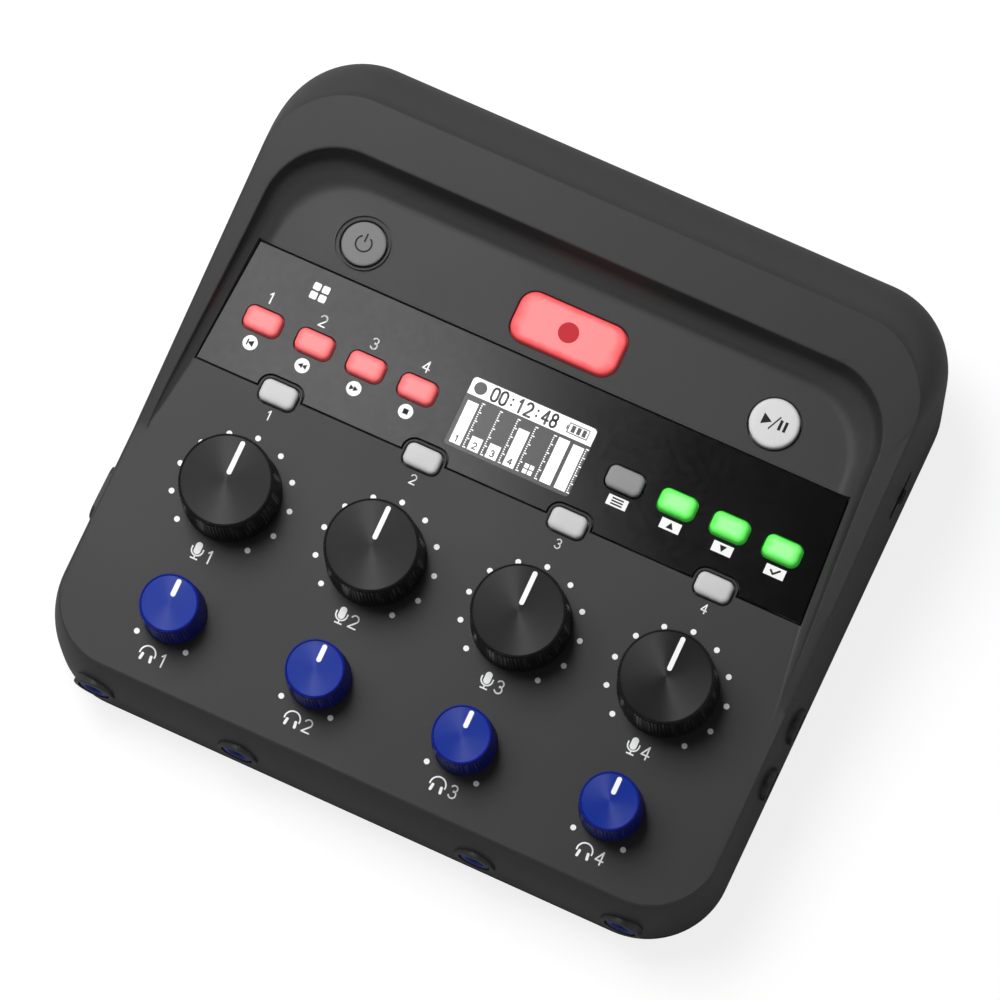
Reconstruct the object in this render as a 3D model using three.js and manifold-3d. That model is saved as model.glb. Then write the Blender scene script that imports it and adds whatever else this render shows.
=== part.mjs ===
// A table-top podcast recorder with four microphone channels.
// A wedge-shaped case carries a tilted control panel, sunk behind a rim that rises towards the rear.
// Each channel has a microphone level knob, a headphone level knob and a mute key.
// Behind them lie an inlay with a display, four sound pads and four menu keys, then power, record and play.
// Millimetres, +Z up, +Y to the rear. The origin is the centre of the footprint, on the table.
import * as THREE from 'three';
import { mergeVertices } from 'three/addons/utils/BufferGeometryUtils.js';
import Module from 'manifold-3d';

const wasm = await Module();
wasm.setup();

// Control panel: the row of microphone knobs is its datum line
const channelPitch = 33.5;
const channelCount = 4;
const channelSideMargin = 26.75;
const headphoneRowFromFront = 19;
const headphoneRowAhead = 28;
const foldBehindKnobs = 5;
const muteRowBehind = 23;
const keyRowBehindMutes = 13;
const bigKeyRowBehindKeys = 23.9;
const recessRearBehindBigKeys = 13;
const rearBehindRecess = 25.1;
const keyPitch = 12;
const keySideMargin = 17;

// Case: overall form
const frontEdgeHeight = 26;
const panelTilt = THREE.MathUtils.degToRad(5);
const rimTilt = THREE.MathUtils.degToRad(11.8);
const sideInset = 1.9;
const frontInset = 2.7;
const rearInset = 13.2;
const shoulderDrop = 14;
const topCornerFront = 15.2;
const topCornerRear = 14.5;
const waistCornerFront = 18;
const waistCornerRear = 19;
const wall = 2.4;
const seamHeight = 5.6;
const fitGap = 0.3;
const overrun = 5;

// Facets: on a round face that shows, on a small or hidden one, and on a corner's quarter turn
const roundFacets = 24;
const smallFacets = 16;
const hiddenFacets = 8;
const cornerFacets = 6;
const innerCornerFacets = 3;
const shoulderFacets = 6;
const innerShoulderFacets = 3;

// Sunken face of the panel
const recessSideMargin = 8.4;
const recessFlare = 3.4;
const recessCorner = 14;
const recessDraftShare = 0.41;
const recessLip = 1;
const recessCutHeight = 20;

// Inlay sheet round the keys and the display
const inlayFrontBehindMutes = 0.4;
const inlayRearBehindKeys = 15.6;
const inlaySideGap = 0.6;
const inlayFlare = 1.7;
const inlayThickness = 0.8;
const inlayPocketDepth = 1.1;
const inlayKeyBorder = 1.2;

// Display
const displayAheadOfKeys = 0.15;
const displayWidth = 28.6;
const displayDepth = 15.7;
const displayGlassBelow = 0.35;
const displayFrameBorder = 1.1;
const displayCorner = 1.2;

// Key caps
const keyWidth = 8.05;
const keyDepth = 5;
const keyCorner = 1.6;
const keyProud = 1.5;
const muteWidth = 8;
const muteDepth = 5;
const recordWidth = 24.3;
const recordDepth = 11.2;
const recordCorner = 3.5;
const recordProud = 1.2;
const playSideMargin = 29.6;
const playDiameter = 10.3;
const playProud = 1.4;
const powerSideMargin = 29.3;
const powerDiameter = 8.75;
const powerProud = 0.5;
const powerRingDiameter = 11.6;
const powerRingWidth = 0.7;
const powerRingDepth = 0.6;
const capBevel = 0.5;
const flangeReach = 1;
const flangeThickness = 0.9;
const keyTravel = 0.8;
const stemWidth = 3;
const stemDepth = 2;
const stemLength = 0.9;
const switchBodySize = 5;

// Knobs and their potentiometers
const micKnobBaseRadius = 10.7;
const micKnobTopRadius = 10.05;
const micKnobHeight = 14;
const micKnobFaceRadius = 9.4;
const headphoneKnobBaseRadius = 6.9;
const headphoneKnobTopRadius = 6.35;
const headphoneKnobHeight = 11.8;
const headphoneKnobFaceRadius = 5.6;
const knobClearance = 0.5;
const knobEdgeBevel = 0.5;
const knobFaceSink = 0.25;
const pointerWidth = 1.05;
const pointerDepth = 0.35;
const micPointerStart = 1.3;
const micPointerEnd = 8.8;
const headphonePointerStart = 1.5;
const headphonePointerEnd = 5.2;
const shaftRadius = 3;
const bushingWall = 0.9;
const bushingTopBelow = 0.4;
const shaftDepth = 6;
const micPotSize = 12;
const headphonePotSize = 10;

// Circuit boards
const panelBoardBelow = 8.2;
const boardThickness = 1.6;
const panelBoardSideMargin = 12;
const panelBoardFrontMargin = 12.5;
const panelBoardRearMargin = 5.9;
const panelBoardNotchDepth = 6;
const mainBoardTop = 10.4;
const mainBoardSideClear = 9.5;
const mainBoardBayGap = 6;
const postRadius = 3;
const postInset = 6;

// Headphone jacks in the front wall
const jackSideMargin = 16;
const jackAxisHeight = 13.7;
const jackBossRadius = 4.7;
const jackBossProud = 0.5;
const jackRingRadius = 3.3;
const jackBoreRadius = 1.8;
const jackBoreDepth = 10;
const jackBodyWidth = 9;
const jackBodyHeight = 6;
const jackBodyLength = 11.5;
const jackBodySetback = 2.6;

// Jacks and sliding switch in the right wall
const sideBossProud = 0.8;
const phoneJackFromFront = 52.7;
const lineJackFromFront = 39.1;
const sideJackBelowPanel = 9;
const phoneBossRadius = 4.1;
const lineBossRadius = 3.7;
const sideJackRingRadius = 2.9;
const switchFromRear = 39.2;
const switchHeight = 26.6;
const switchSlotHeight = 3.2;
const switchNubLength = 3.1;
const switchEndGap = 0.5;
const switchPlateOverlap = 0.8;
const switchPlateMargin = 0.6;
const switchPlateThickness = 1.2;
const switchTravel = 3.6;

// Port and card slot in the left wall
const portFromFront = 38.5;
const portHeight = 16.4;
const portWidth = 8.9;
const portOpeningHeight = 3.2;
const portShellWall = 0.6;
const portBorder = 1.6;
const portFrameCornerShare = 0.4;
const portLength = 8;
const cardFromFront = 68.5;
const cardHeight = 16.4;
const cardSlotWidth = 25.4;
const cardSlotHeight = 2.8;
const cardBodyLength = 26;
const cardBodyWall = 0.8;

// Microphone sockets in the rear wall
const socketSideMargin = 32;
const socketHeight = 18.6;
const socketRadius = 11.2;
const socketFlangeRadius = 12.4;
const socketFlangeThickness = 1.6;
const socketFlangeSetback = 1.4;
const socketLength = 20;
const socketProud = 0.5;
const socketGrooveOuter = 9.7;
const socketGrooveInner = 7.95;
const socketGrooveDepth = 11;
const socketPinCircle = 4.3;
const socketPinRadius = 1.25;
const socketPinDepth = 9;
const socketPinCount = 3;

// Base, battery bay, door and feet
const baseBottom = 1.5;
const baseFloorThickness = 3.2;
const baseEdgeInsets = [2.6, 1.1, 0.25, 0];
const baseEdgeRiseShares = [0, 0.16, 0.5, 1];
const cellRadius = 7.1;
const cellLength = 49.2;
const cellNubRadius = 2.7;
const cellNubLength = 1.2;
const cellRows = 2;
const cellColumns = 2;
const bayFrontFromRear = 58.5;
const bayWall = 1.5;
const doorThickness = 1.6;
const doorSideReach = 3;
const doorFrontReach = 2.5;
const doorTongueReach = 1.5;
const doorTongueThickness = 0.7;
const doorGripCount = 5;
const doorGripPitch = 2.4;
const doorGripWidth = 1.2;
const doorGripDepth = 0.6;
const doorGripLength = 22;
const footRadius = 6;
const footPocketDepth = 1;
const footInsetX = 14;
const footInsetY = 15;
const casePostRadius = 3.4;
const casePostInsetX = 7.6;
const casePostInsetY = 27;

// Round ends: just under a half, so that the two arcs of an end never meet
const roundEndShare = 0.4975;
const mergeTolerance = 1e-5;

// Overall sizes and places that follow
const channels = [...Array(channelCount).keys()];
const knobRowFromFront = headphoneRowFromFront + headphoneRowAhead;
const keyRowBehind = muteRowBehind + keyRowBehindMutes;
const bigKeyRowBehind = keyRowBehind + bigKeyRowBehindKeys;
const recessRearBehind = bigKeyRowBehind + recessRearBehindBigKeys;
const bodyWidth = (channelCount - 1) * channelPitch + 2 * channelSideMargin;
const bodyDepth = knobRowFromFront + recessRearBehind + rearBehindRecess;
const frontY = -bodyDepth / 2;
const rearY = bodyDepth / 2;
const rightX = bodyWidth / 2;
const recessHalfWidth = rightX - recessSideMargin;
const inlayFrontBehind = muteRowBehind + inlayFrontBehindMutes;
const inlayRearBehind = keyRowBehind + inlayRearBehindKeys;
const inlayHalfWidthRear = recessHalfWidth - inlaySideGap;
const inlayHalfWidthFront = inlayHalfWidthRear + inlayFlare;
const displayBehind = keyRowBehind - displayAheadOfKeys;
const outerKeyX = rightX - keySideMargin;
const playX = rightX - playSideMargin;
const powerX = powerSideMargin - rightX;
const panelBoardHalfWidth = rightX - panelBoardSideMargin;
const panelBoardFrontAhead = knobRowFromFront - panelBoardFrontMargin;
const panelBoardRearBehind = recessRearBehind - panelBoardRearMargin;
const phoneJackY = frontY + phoneJackFromFront;
const lineJackY = frontY + lineJackFromFront;
const sideJackHeight = panelHeightAt(lineJackY) - sideJackBelowPanel;
const switchY = rearY - switchFromRear;
const switchSlotLength = switchNubLength + 2 * (switchTravel + switchEndGap);
const portY = frontY + portFromFront;
const cardY = frontY + cardFromFront;
const socketPitch = 2 * (rightX - socketSideMargin) / (channelCount - 1);
const bayFront = rearY - bayFrontFromRear;
const mainBoardRear = bayFront - mainBoardBayGap;

// Finishes
const casePlastic = finish('#3b3b3c', 0.62);
const wallPlastic = finish('#2a2a2b', 0.6);
const inlaySheet = finish('#17181a', 0.3);
const screenGlass = finish('#d9dcdf', 0.2);
const blackKnobPlastic = finish('#141415', 0.4);
const blueKnobPlastic = finish('#10309a', 0.38);
const redKeySilicone = finish('#ee8687', 0.5);
const greenKeySilicone = finish('#8ff08f', 0.5);
const paleKeySilicone = finish('#cdcdcd', 0.5);
const greyKeySilicone = finish('#8f8f90', 0.5);
const whiteKeyPlastic = finish('#d8d8d8', 0.45);
const boardLaminate = finish('#1d4a30', 0.5);
const potMetal = finish('#9a9a9c', 0.4, 0.8);
const shellMetal = finish('#b0b2b5', 0.35, 0.9);
const socketPlastic = finish('#18181a', 0.5);
const footRubber = finish('#1b1b1b', 0.9);
const cellSleeve = finish('#4b4f55', 0.4);

function finish(color, roughness, metalness = 0) {
  return new THREE.MeshStandardMaterial({ color, roughness, metalness });
}

// Solids: closed meshes to and from the boolean library
function toSolid(geometry) {
  const bare = geometry.clone();
  bare.deleteAttribute('normal');
  bare.deleteAttribute('uv');
  const merged = mergeVertices(bare, mergeTolerance);
  return new wasm.Manifold(new wasm.Mesh({
    numProp: 3,
    vertProperties: new Float32Array(merged.attributes.position.array),
    triVerts: new Uint32Array(merged.index.array),
  }));
}

function toGeometry(solid) {
  const mesh = solid.getMesh();
  const geometry = new THREE.BufferGeometry();
  geometry.setAttribute('position', new THREE.BufferAttribute(mesh.vertProperties, 3));
  geometry.setIndex(new THREE.BufferAttribute(mesh.triVerts, 1));
  return geometry;
}

function joined(first, ...others) {
  return others.reduce((sum, geometry) => sum.add(toSolid(geometry)), toSolid(first));
}

function without(solid, cutters) {
  return cutters.reduce((rest, geometry) => rest.subtract(toSolid(geometry)), solid);
}

// Simple shapes placed by their limits
function block(x0, x1, y0, y1, z0, z1) {
  const geometry = new THREE.BoxGeometry(x1 - x0, y1 - y0, z1 - z0);
  return geometry.translate((x0 + x1) / 2, (y0 + y1) / 2, (z0 + z1) / 2);
}

function centredBlock(x, y, width, depth, z0, z1) {
  return block(x - width / 2, x + width / 2, y - depth / 2, y + depth / 2, z0, z1);
}

function uprightRod(x, y, radius, z0, z1, facets = smallFacets) {
  const geometry = new THREE.CylinderGeometry(radius, radius, z1 - z0, facets);
  return geometry.rotateX(Math.PI / 2).translate(x, y, (z0 + z1) / 2);
}

function rodAlongY(x, z, radius, y0, y1, facets = smallFacets) {
  const geometry = new THREE.CylinderGeometry(radius, radius, y1 - y0, facets);
  return geometry.translate(x, (y0 + y1) / 2, z);
}

function rodAlongX(y, z, radius, x0, x1, facets = smallFacets) {
  const geometry = new THREE.CylinderGeometry(radius, radius, x1 - x0, facets);
  return geometry.rotateZ(Math.PI / 2).translate((x0 + x1) / 2, y, z);
}

function roundedOutline(width, depth, corner) {
  const shape = new THREE.Shape();
  const x = width / 2 - corner;
  const y = depth / 2 - corner;
  shape.absarc(x, y, corner, 0, Math.PI / 2);
  shape.absarc(-x, y, corner, Math.PI / 2, Math.PI);
  shape.absarc(-x, -y, corner, Math.PI, Math.PI * 1.5);
  shape.absarc(x, -y, corner, Math.PI * 1.5, Math.PI * 2);
  shape.closePath();
  return shape;
}

function grownOutline(width, depth, corner, grow) {
  return roundedOutline(width + 2 * grow, depth + 2 * grow, corner + grow);
}

function circleOutline(radius) {
  return new THREE.Shape().absarc(0, 0, radius, 0, Math.PI * 2);
}

// Each arc of the outline gets twice the number of steps
function plate(shape, x, y, z0, z1, arcSteps = 1) {
  const geometry = new THREE.ExtrudeGeometry(shape, {
    depth: z1 - z0,
    bevelEnabled: false,
    curveSegments: arcSteps,
  });
  return geometry.translate(x, y, z0);
}

// A form lofted through rings of points, from the lowest ring to the highest.
// A ring runs up its right half from front to rear and down its mirrored left half.
function loft(rings) {
  const count = rings[0].length;
  const index = [];
  for (let ring = 0; ring < rings.length - 1; ring += 1) {
    for (let i = 0; i < count; i += 1) {
      const here = ring * count + i;
      const next = ring * count + ((i + 1) % count);
      index.push(here, next, next + count, here, next + count, here + count);
    }
  }
  const top = (rings.length - 1) * count;
  for (let i = 0; i < count / 2 - 1; i += 1) {
    const right = [i, i + 1];
    const left = [count - 1 - i, count - 2 - i];
    index.push(right[0], left[1], right[1], right[0], left[0], left[1]);
    index.push(top + right[0], top + right[1], top + left[1], top + right[0], top + left[1], top + left[0]);
  }
  const geometry = new THREE.BufferGeometry();
  const positions = rings.flat().flatMap((point) => point.toArray());
  geometry.setAttribute('position', new THREE.Float32BufferAttribute(positions, 3));
  geometry.setIndex(index);
  return geometry;
}

function mirroredRing(half, heightOf) {
  const right = half.map((point, i) => new THREE.Vector3(point.x, point.y, heightOf(point, i)));
  const left = right.map((point) => new THREE.Vector3(-point.x, point.y, point.z)).reverse();
  return [...right, ...left];
}

function halfOutline(halfWidth, front, rear, frontCorner, rearCorner, stops, facets) {
  const frontArc = new THREE.EllipseCurve(
    halfWidth - frontCorner, front + frontCorner, frontCorner, frontCorner, -Math.PI / 2, 0);
  const rearArc = new THREE.EllipseCurve(
    halfWidth - rearCorner, rear - rearCorner, rearCorner, rearCorner, 0, Math.PI / 2);
  const side = stops.map((y) => new THREE.Vector2(halfWidth, y));
  return [...frontArc.getPoints(facets), ...side, ...rearArc.getPoints(facets)];
}

// The panel's own frame: X right, Y up the slope, Z out of the panel
const panelOriginY = frontY + knobRowFromFront;
const panelOriginZ = panelHeightAt(panelOriginY);
const foldY = panelOriginY + foldBehindKnobs * Math.cos(panelTilt);
const panelMatrix = new THREE.Matrix4()
  .makeRotationX(panelTilt)
  .setPosition(0, panelOriginY, panelOriginZ);

function panelHeightAt(y) {
  return frontEdgeHeight + (y - frontY - frontInset) * Math.tan(panelTilt);
}

function topHeightAt(y) {
  return panelHeightAt(Math.min(y, foldY)) + Math.max(0, y - foldY) * Math.tan(rimTilt);
}

function onPanel(geometry) {
  return geometry.applyMatrix4(panelMatrix);
}

function channelX(channel, pitch = channelPitch) {
  return (channel - (channelCount - 1) / 2) * pitch;
}

// Outline of the case: inset share 0 at the waist, 1 at the top edge
function bodyOutline(insetShare, shrink, facets = cornerFacets) {
  const mix = THREE.MathUtils.lerp;
  return halfOutline(
    rightX - shrink - sideInset * insetShare,
    frontY + shrink + frontInset * insetShare,
    rearY - shrink - rearInset * insetShare,
    mix(waistCornerFront, topCornerFront, insetShare) - shrink,
    mix(waistCornerRear, topCornerRear, insetShare) - shrink,
    [foldY],
    facets,
  );
}

function bodyForm(shrink, bottom, facets, shoulderSteps) {
  const edge = bodyOutline(1, shrink, facets);
  const rings = [mirroredRing(bodyOutline(0, shrink, facets), () => bottom)];
  for (let step = shoulderSteps; step >= 0; step -= 1) {
    const turn = (step / shoulderSteps) * (Math.PI / 2);
    const drop = shoulderDrop * (1 - Math.cos(turn));
    const outline = bodyOutline(1 - Math.sin(turn), shrink, facets);
    rings.push(mirroredRing(outline, (point, i) => topHeightAt(edge[i].y) - shrink - drop));
  }
  return loft(rings);
}

// The sunken face: a cutter whose floor is the panel and whose walls lean outwards
function recessForm(grow) {
  const rings = [-grow, recessCutHeight].map((height) => {
    const lean = (height + grow) * recessDraftShare + grow;
    const front = foldBehindKnobs + recessLip;
    const corner = new THREE.EllipseCurve(
      recessHalfWidth + lean - recessCorner, recessRearBehind + lean - recessCorner,
      recessCorner, recessCorner, 0, Math.PI / 2);
    const frontEnd = new THREE.Vector2(recessHalfWidth + recessFlare + lean, front);
    return mirroredRing([frontEnd, ...corner.getPoints(cornerFacets)], () => height);
  });
  return onPanel(loft(rings));
}

// Keys: each cap passes the panel and is held by a flange under it
const keyShelf = -(wall + fitGap);
const stemEnd = keyShelf - flangeThickness - stemLength;
const keyFamily = {
  small: { shape: (grow) => grownOutline(keyWidth, keyDepth, keyCorner, grow), arcSteps: 1 },
  mute: { shape: (grow) => grownOutline(muteWidth, muteDepth, keyCorner, grow), arcSteps: 1 },
  record: { shape: (grow) => grownOutline(recordWidth, recordDepth, recordCorner, grow), arcSteps: 2 },
  play: { shape: (grow) => circleOutline(playDiameter / 2 + grow), arcSteps: roundFacets / 2 },
  power: { shape: (grow) => circleOutline(powerDiameter / 2 + grow), arcSteps: roundFacets / 2 },
};
const padLetters = ['a', 'b', 'c', 'd'];
const menuWords = ['menu', 'tone', 'compressor', 'noise'];
const keys = [
  ...padLetters.map((letter, i) => ({
    name: `sound_pad_${letter}`,
    family: 'small',
    x: i * keyPitch - outerKeyX,
    y: keyRowBehind,
    proud: keyProud,
    look: redKeySilicone,
  })),
  ...menuWords.map((word, i) => ({
    name: `${word}_button`,
    family: 'small',
    x: outerKeyX - (menuWords.length - 1 - i) * keyPitch,
    y: keyRowBehind,
    proud: keyProud,
    look: i ? greenKeySilicone : greyKeySilicone,
  })),
  ...channels.map((channel) => ({
    name: `mute_button_${channel + 1}`,
    family: 'mute',
    x: channelX(channel),
    y: muteRowBehind,
    proud: keyProud,
    look: paleKeySilicone,
  })),
  {
    name: 'record_button',
    family: 'record',
    x: 0,
    y: bigKeyRowBehind,
    proud: recordProud,
    look: redKeySilicone,
  },
  {
    name: 'play_button',
    family: 'play',
    x: playX,
    y: bigKeyRowBehind,
    proud: playProud,
    look: whiteKeyPlastic,
  },
  {
    name: 'power_button',
    family: 'power',
    x: powerX,
    y: bigKeyRowBehind,
    proud: powerProud,
    look: greyKeySilicone,
  },
];

function keyCap(key) {
  const { shape, arcSteps } = keyFamily[key.family];
  const cap = new THREE.ExtrudeGeometry(shape(-capBevel), {
    depth: key.proud - keyShelf - capBevel + flangeThickness / 2,
    bevelThickness: capBevel,
    bevelSize: capBevel,
    bevelSegments: 1,
    curveSegments: arcSteps,
  }).translate(key.x, key.y, keyShelf - flangeThickness / 2);
  const flange = plate(shape(flangeReach), key.x, key.y, keyShelf - flangeThickness, keyShelf, arcSteps);
  const stem = centredBlock(key.x, key.y, stemWidth, stemDepth, stemEnd, keyShelf - flangeThickness / 2);
  return toGeometry(joined(cap, flange, stem));
}

function keyHole(key) {
  const { shape, arcSteps } = keyFamily[key.family];
  return plate(shape(fitGap), key.x, key.y, -wall - overrun, overrun, arcSteps);
}

// Knobs: the potentiometer's shaft is pressed in the knob and turns in the bushing
const knobKinds = {
  mic: {
    base: micKnobBaseRadius,
    top: micKnobTopRadius,
    face: micKnobFaceRadius,
    height: micKnobHeight,
    pointer: [micPointerStart, micPointerEnd],
    y: 0,
    pot: micPotSize,
    look: blackKnobPlastic,
  },
  headphone: {
    base: headphoneKnobBaseRadius,
    top: headphoneKnobTopRadius,
    face: headphoneKnobFaceRadius,
    height: headphoneKnobHeight,
    pointer: [headphonePointerStart, headphonePointerEnd],
    y: -headphoneRowAhead,
    pot: headphonePotSize,
    look: blueKnobPlastic,
  },
};

function knob(kind, x) {
  const profile = [
    [0, -shaftDepth], [shaftRadius, -shaftDepth], [shaftRadius, knobClearance], [kind.base, knobClearance],
    [kind.top, kind.height - knobEdgeBevel], [kind.top - knobEdgeBevel, kind.height],
    [kind.face, kind.height - knobFaceSink], [0, kind.height - knobFaceSink],
  ].map(([radius, height]) => new THREE.Vector2(radius, height));
  const turned = new THREE.LatheGeometry(profile, roundFacets).rotateX(Math.PI / 2).translate(x, kind.y, 0);
  const faceTop = kind.height - knobFaceSink;
  const slotLength = kind.pointer[1] - kind.pointer[0];
  const slot = plate(
    roundedOutline(pointerWidth, slotLength, pointerWidth * roundEndShare),
    x, kind.y + kind.pointer[0] + slotLength / 2, faceTop - pointerDepth, faceTop + overrun);
  return toGeometry(without(toSolid(turned), [slot]));
}

function pot(kind, x) {
  const bore = shaftRadius + fitGap;
  const housing = centredBlock(
    x, kind.y, kind.pot, kind.pot, fitGap - panelBoardBelow, keyShelf - fitGap);
  const bushing = uprightRod(
    x, kind.y, bore + bushingWall, keyShelf - 2 * fitGap, -bushingTopBelow, hiddenFacets);
  const shaftRoom = uprightRod(x, kind.y, bore, -shaftDepth - fitGap, overrun, hiddenFacets);
  return toGeometry(without(joined(housing, bushing), [shaftRoom]));
}

// The inlay sheet: narrower at the rear, notched round each mute key
function inlayShape(grow) {
  const shape = new THREE.Shape();
  const front = inlayFrontBehind - grow;
  const rear = inlayRearBehind + grow;
  const notchHalf = muteWidth / 2 + inlayKeyBorder - grow;
  const notchTop = muteRowBehind + muteDepth / 2 + inlayKeyBorder - grow;
  const notchCorner = keyCorner + inlayKeyBorder - grow;
  shape.moveTo(inlayHalfWidthFront + grow, front);
  shape.lineTo(inlayHalfWidthRear + grow, rear);
  shape.lineTo(-inlayHalfWidthRear - grow, rear);
  shape.lineTo(-inlayHalfWidthFront - grow, front);
  channels.map((channel) => channelX(channel)).forEach((x) => {
    const arcReach = notchHalf - notchCorner;
    shape.lineTo(x - notchHalf, front);
    shape.absarc(x - arcReach, notchTop - notchCorner, notchCorner, Math.PI, Math.PI / 2, true);
    shape.absarc(x + arcReach, notchTop - notchCorner, notchCorner, Math.PI / 2, 0, true);
    shape.lineTo(x + notchHalf, front);
  });
  shape.closePath();
  return shape;
}

function inlay() {
  const sheetTop = -inlayPocketDepth + fitGap + inlayThickness;
  const sheet = toSolid(plate(inlayShape(0), 0, 0, sheetTop - inlayThickness, sheetTop));
  const window = plate(
    roundedOutline(displayWidth, displayDepth, displayCorner), 0, displayBehind, -overrun, overrun);
  return toGeometry(without(sheet, [...keys.filter((key) => key.family === 'small').map(keyHole), window]));
}

function displayModule() {
  const glass = plate(
    roundedOutline(displayWidth - 2 * fitGap, displayDepth - 2 * fitGap, displayCorner - fitGap),
    0, displayBehind, keyShelf - fitGap, -displayGlassBelow);
  const frameWidth = displayWidth + 2 * displayFrameBorder;
  const frameDepth = displayDepth + 2 * displayFrameBorder;
  const frame = centredBlock(0, displayBehind, frameWidth, frameDepth, fitGap - panelBoardBelow, keyShelf);
  return toGeometry(joined(glass, frame));
}

// Board under the panel, with the switch that each key presses
const panelPosts = [-1, 1].flatMap((side) => (
  [-panelBoardFrontAhead + postInset, panelBoardRearBehind - postInset].map((y) => (
    { x: side * (panelBoardHalfWidth - postInset / 2), y }
  ))
));

function panelBoard() {
  const board = block(
    -panelBoardHalfWidth, panelBoardHalfWidth, -panelBoardFrontAhead, panelBoardRearBehind,
    -panelBoardBelow - boardThickness, -panelBoardBelow);
  const switches = keys.map((key) => centredBlock(
    key.x, key.y, switchBodySize, switchBodySize / 2 + stemDepth / 2,
    -panelBoardBelow - boardThickness / 2, stemEnd - keyTravel - fitGap));
  const notch = block(
    panelBoardHalfWidth - panelBoardNotchDepth, panelBoardHalfWidth + overrun,
    lineJackY - panelOriginY - jackBodyWidth, phoneJackY - panelOriginY + jackBodyWidth,
    -panelBoardBelow - overrun, overrun - panelBoardBelow);
  return toGeometry(without(joined(board, ...switches), [notch]));
}

function mainBoard() {
  return block(
    mainBoardSideClear + wall - rightX, rightX - wall - mainBoardSideClear,
    frontY + wall + mainBoardSideClear, mainBoardRear,
    mainBoardTop - boardThickness, mainBoardTop);
}

// Jacks: a ring in the wall, a bore for the plug and a housing behind
const outerJackX = rightX - jackSideMargin;
const innerJackX = outerJackX - channelPitch;
const headphoneJackX = [-outerJackX, -innerJackX, innerJackX, outerJackX];

function headphoneJack(x) {
  const faceY = frontY - jackBossProud + fitGap / 2;
  const bodyFront = frontY + wall + jackBodySetback;
  const ring = rodAlongY(x, jackAxisHeight, jackRingRadius, faceY, bodyFront + fitGap);
  const housing = block(
    x - jackBodyWidth / 2, x + jackBodyWidth / 2, bodyFront, bodyFront + jackBodyLength,
    jackAxisHeight - jackBodyHeight / 2, jackAxisHeight + jackBodyHeight / 2);
  const bore = rodAlongY(x, jackAxisHeight, jackBoreRadius, faceY - overrun, faceY + jackBoreDepth);
  return toGeometry(without(joined(ring, housing), [bore]));
}

function sideJack(y) {
  const faceX = rightX + sideBossProud - fitGap / 2;
  const bodyEnd = rightX - wall - jackBodySetback;
  const ring = rodAlongX(y, sideJackHeight, sideJackRingRadius, bodyEnd - fitGap, faceX);
  const housing = block(
    bodyEnd - jackBodyLength, bodyEnd, y - jackBodyWidth / 2, y + jackBodyWidth / 2,
    sideJackHeight - jackBodyHeight / 2, sideJackHeight + jackBodyHeight / 2);
  const bore = rodAlongX(y, sideJackHeight, jackBoreRadius, faceX - jackBoreDepth, faceX + overrun);
  return toGeometry(without(joined(ring, housing), [bore]));
}

// Sliding switch: a nub in the slot on a plate behind the wall
function slideSwitch() {
  const plateOuter = rightX - wall - fitGap;
  const nub = block(
    plateOuter - switchPlateThickness, rightX + sideBossProud,
    switchY - switchNubLength / 2, switchY + switchNubLength / 2,
    switchHeight - switchSlotHeight / 2 + fitGap, switchHeight + switchSlotHeight / 2 - fitGap);
  const plateHalf = switchSlotLength / 2 + switchTravel + switchPlateOverlap;
  const plateHalfHeight = switchSlotHeight / 2 + switchPlateMargin;
  const backPlate = block(
    plateOuter - switchPlateThickness, plateOuter, switchY - plateHalf, switchY + plateHalf,
    switchHeight - plateHalfHeight, switchHeight + plateHalfHeight);
  return toGeometry(joined(nub, backPlate));
}

// Data port and card slot: metal and plastic shells open to the left
function port() {
  const outer = -rightX - sideBossProud + fitGap / 2;
  const shellWidth = portWidth + 2 * portShellWall;
  const shellHeight = portOpeningHeight + 2 * portShellWall;
  const shell = plate(
    roundedOutline(shellHeight, shellWidth, shellHeight * roundEndShare), 0, 0, 0, portLength, 2);
  const cavity = plate(
    roundedOutline(portOpeningHeight, portWidth, portOpeningHeight * roundEndShare),
    0, 0, -overrun, portLength - portShellWall, 2);
  const solid = without(toSolid(shell), [cavity]);
  return toGeometry(solid).rotateY(Math.PI / 2).translate(outer, portY, portHeight);
}

function cardSlot() {
  const outer = -rightX + fitGap;
  const halfWidth = cardSlotWidth / 2 + cardBodyWall;
  const halfHeight = cardSlotHeight / 2 + cardBodyWall;
  const shell = block(
    outer, outer + cardBodyLength, cardY - halfWidth, cardY + halfWidth,
    cardHeight - halfHeight, cardHeight + halfHeight);
  const cavity = block(
    outer - overrun, outer + cardBodyLength - cardBodyWall,
    cardY - cardSlotWidth / 2, cardY + cardSlotWidth / 2,
    cardHeight - cardSlotHeight / 2, cardHeight + cardSlotHeight / 2);
  return toGeometry(without(toSolid(shell), [cavity]));
}

// Microphone socket: a sleeve, a groove for the plug's shell and a core with pin holes
function micSocket(x) {
  const face = rearY + socketProud;
  const flangeRear = rearY - wall - socketFlangeSetback;
  const sleeve = rodAlongY(x, socketHeight, socketRadius, face - socketLength, face, roundFacets);
  const flange = rodAlongY(
    x, socketHeight, socketFlangeRadius, flangeRear - socketFlangeThickness, flangeRear, roundFacets);
  const grooveOuter = rodAlongY(
    x, socketHeight, socketGrooveOuter, face - socketGrooveDepth, face + overrun, roundFacets);
  const core = rodAlongY(
    x, socketHeight, socketGrooveInner, face - socketLength, face + 2 * overrun, roundFacets);
  const groove = toSolid(grooveOuter).subtract(toSolid(core));
  const pins = [...Array(socketPinCount).keys()].map((pin) => {
    const angle = (pin / socketPinCount) * Math.PI * 2 - Math.PI / 2;
    return rodAlongY(
      x + socketPinCircle * Math.cos(angle), socketHeight + socketPinCircle * Math.sin(angle),
      socketPinRadius, face - socketPinDepth, face + overrun, hiddenFacets);
  });
  return toGeometry(without(joined(sleeve, flange).subtract(groove), pins));
}

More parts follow.
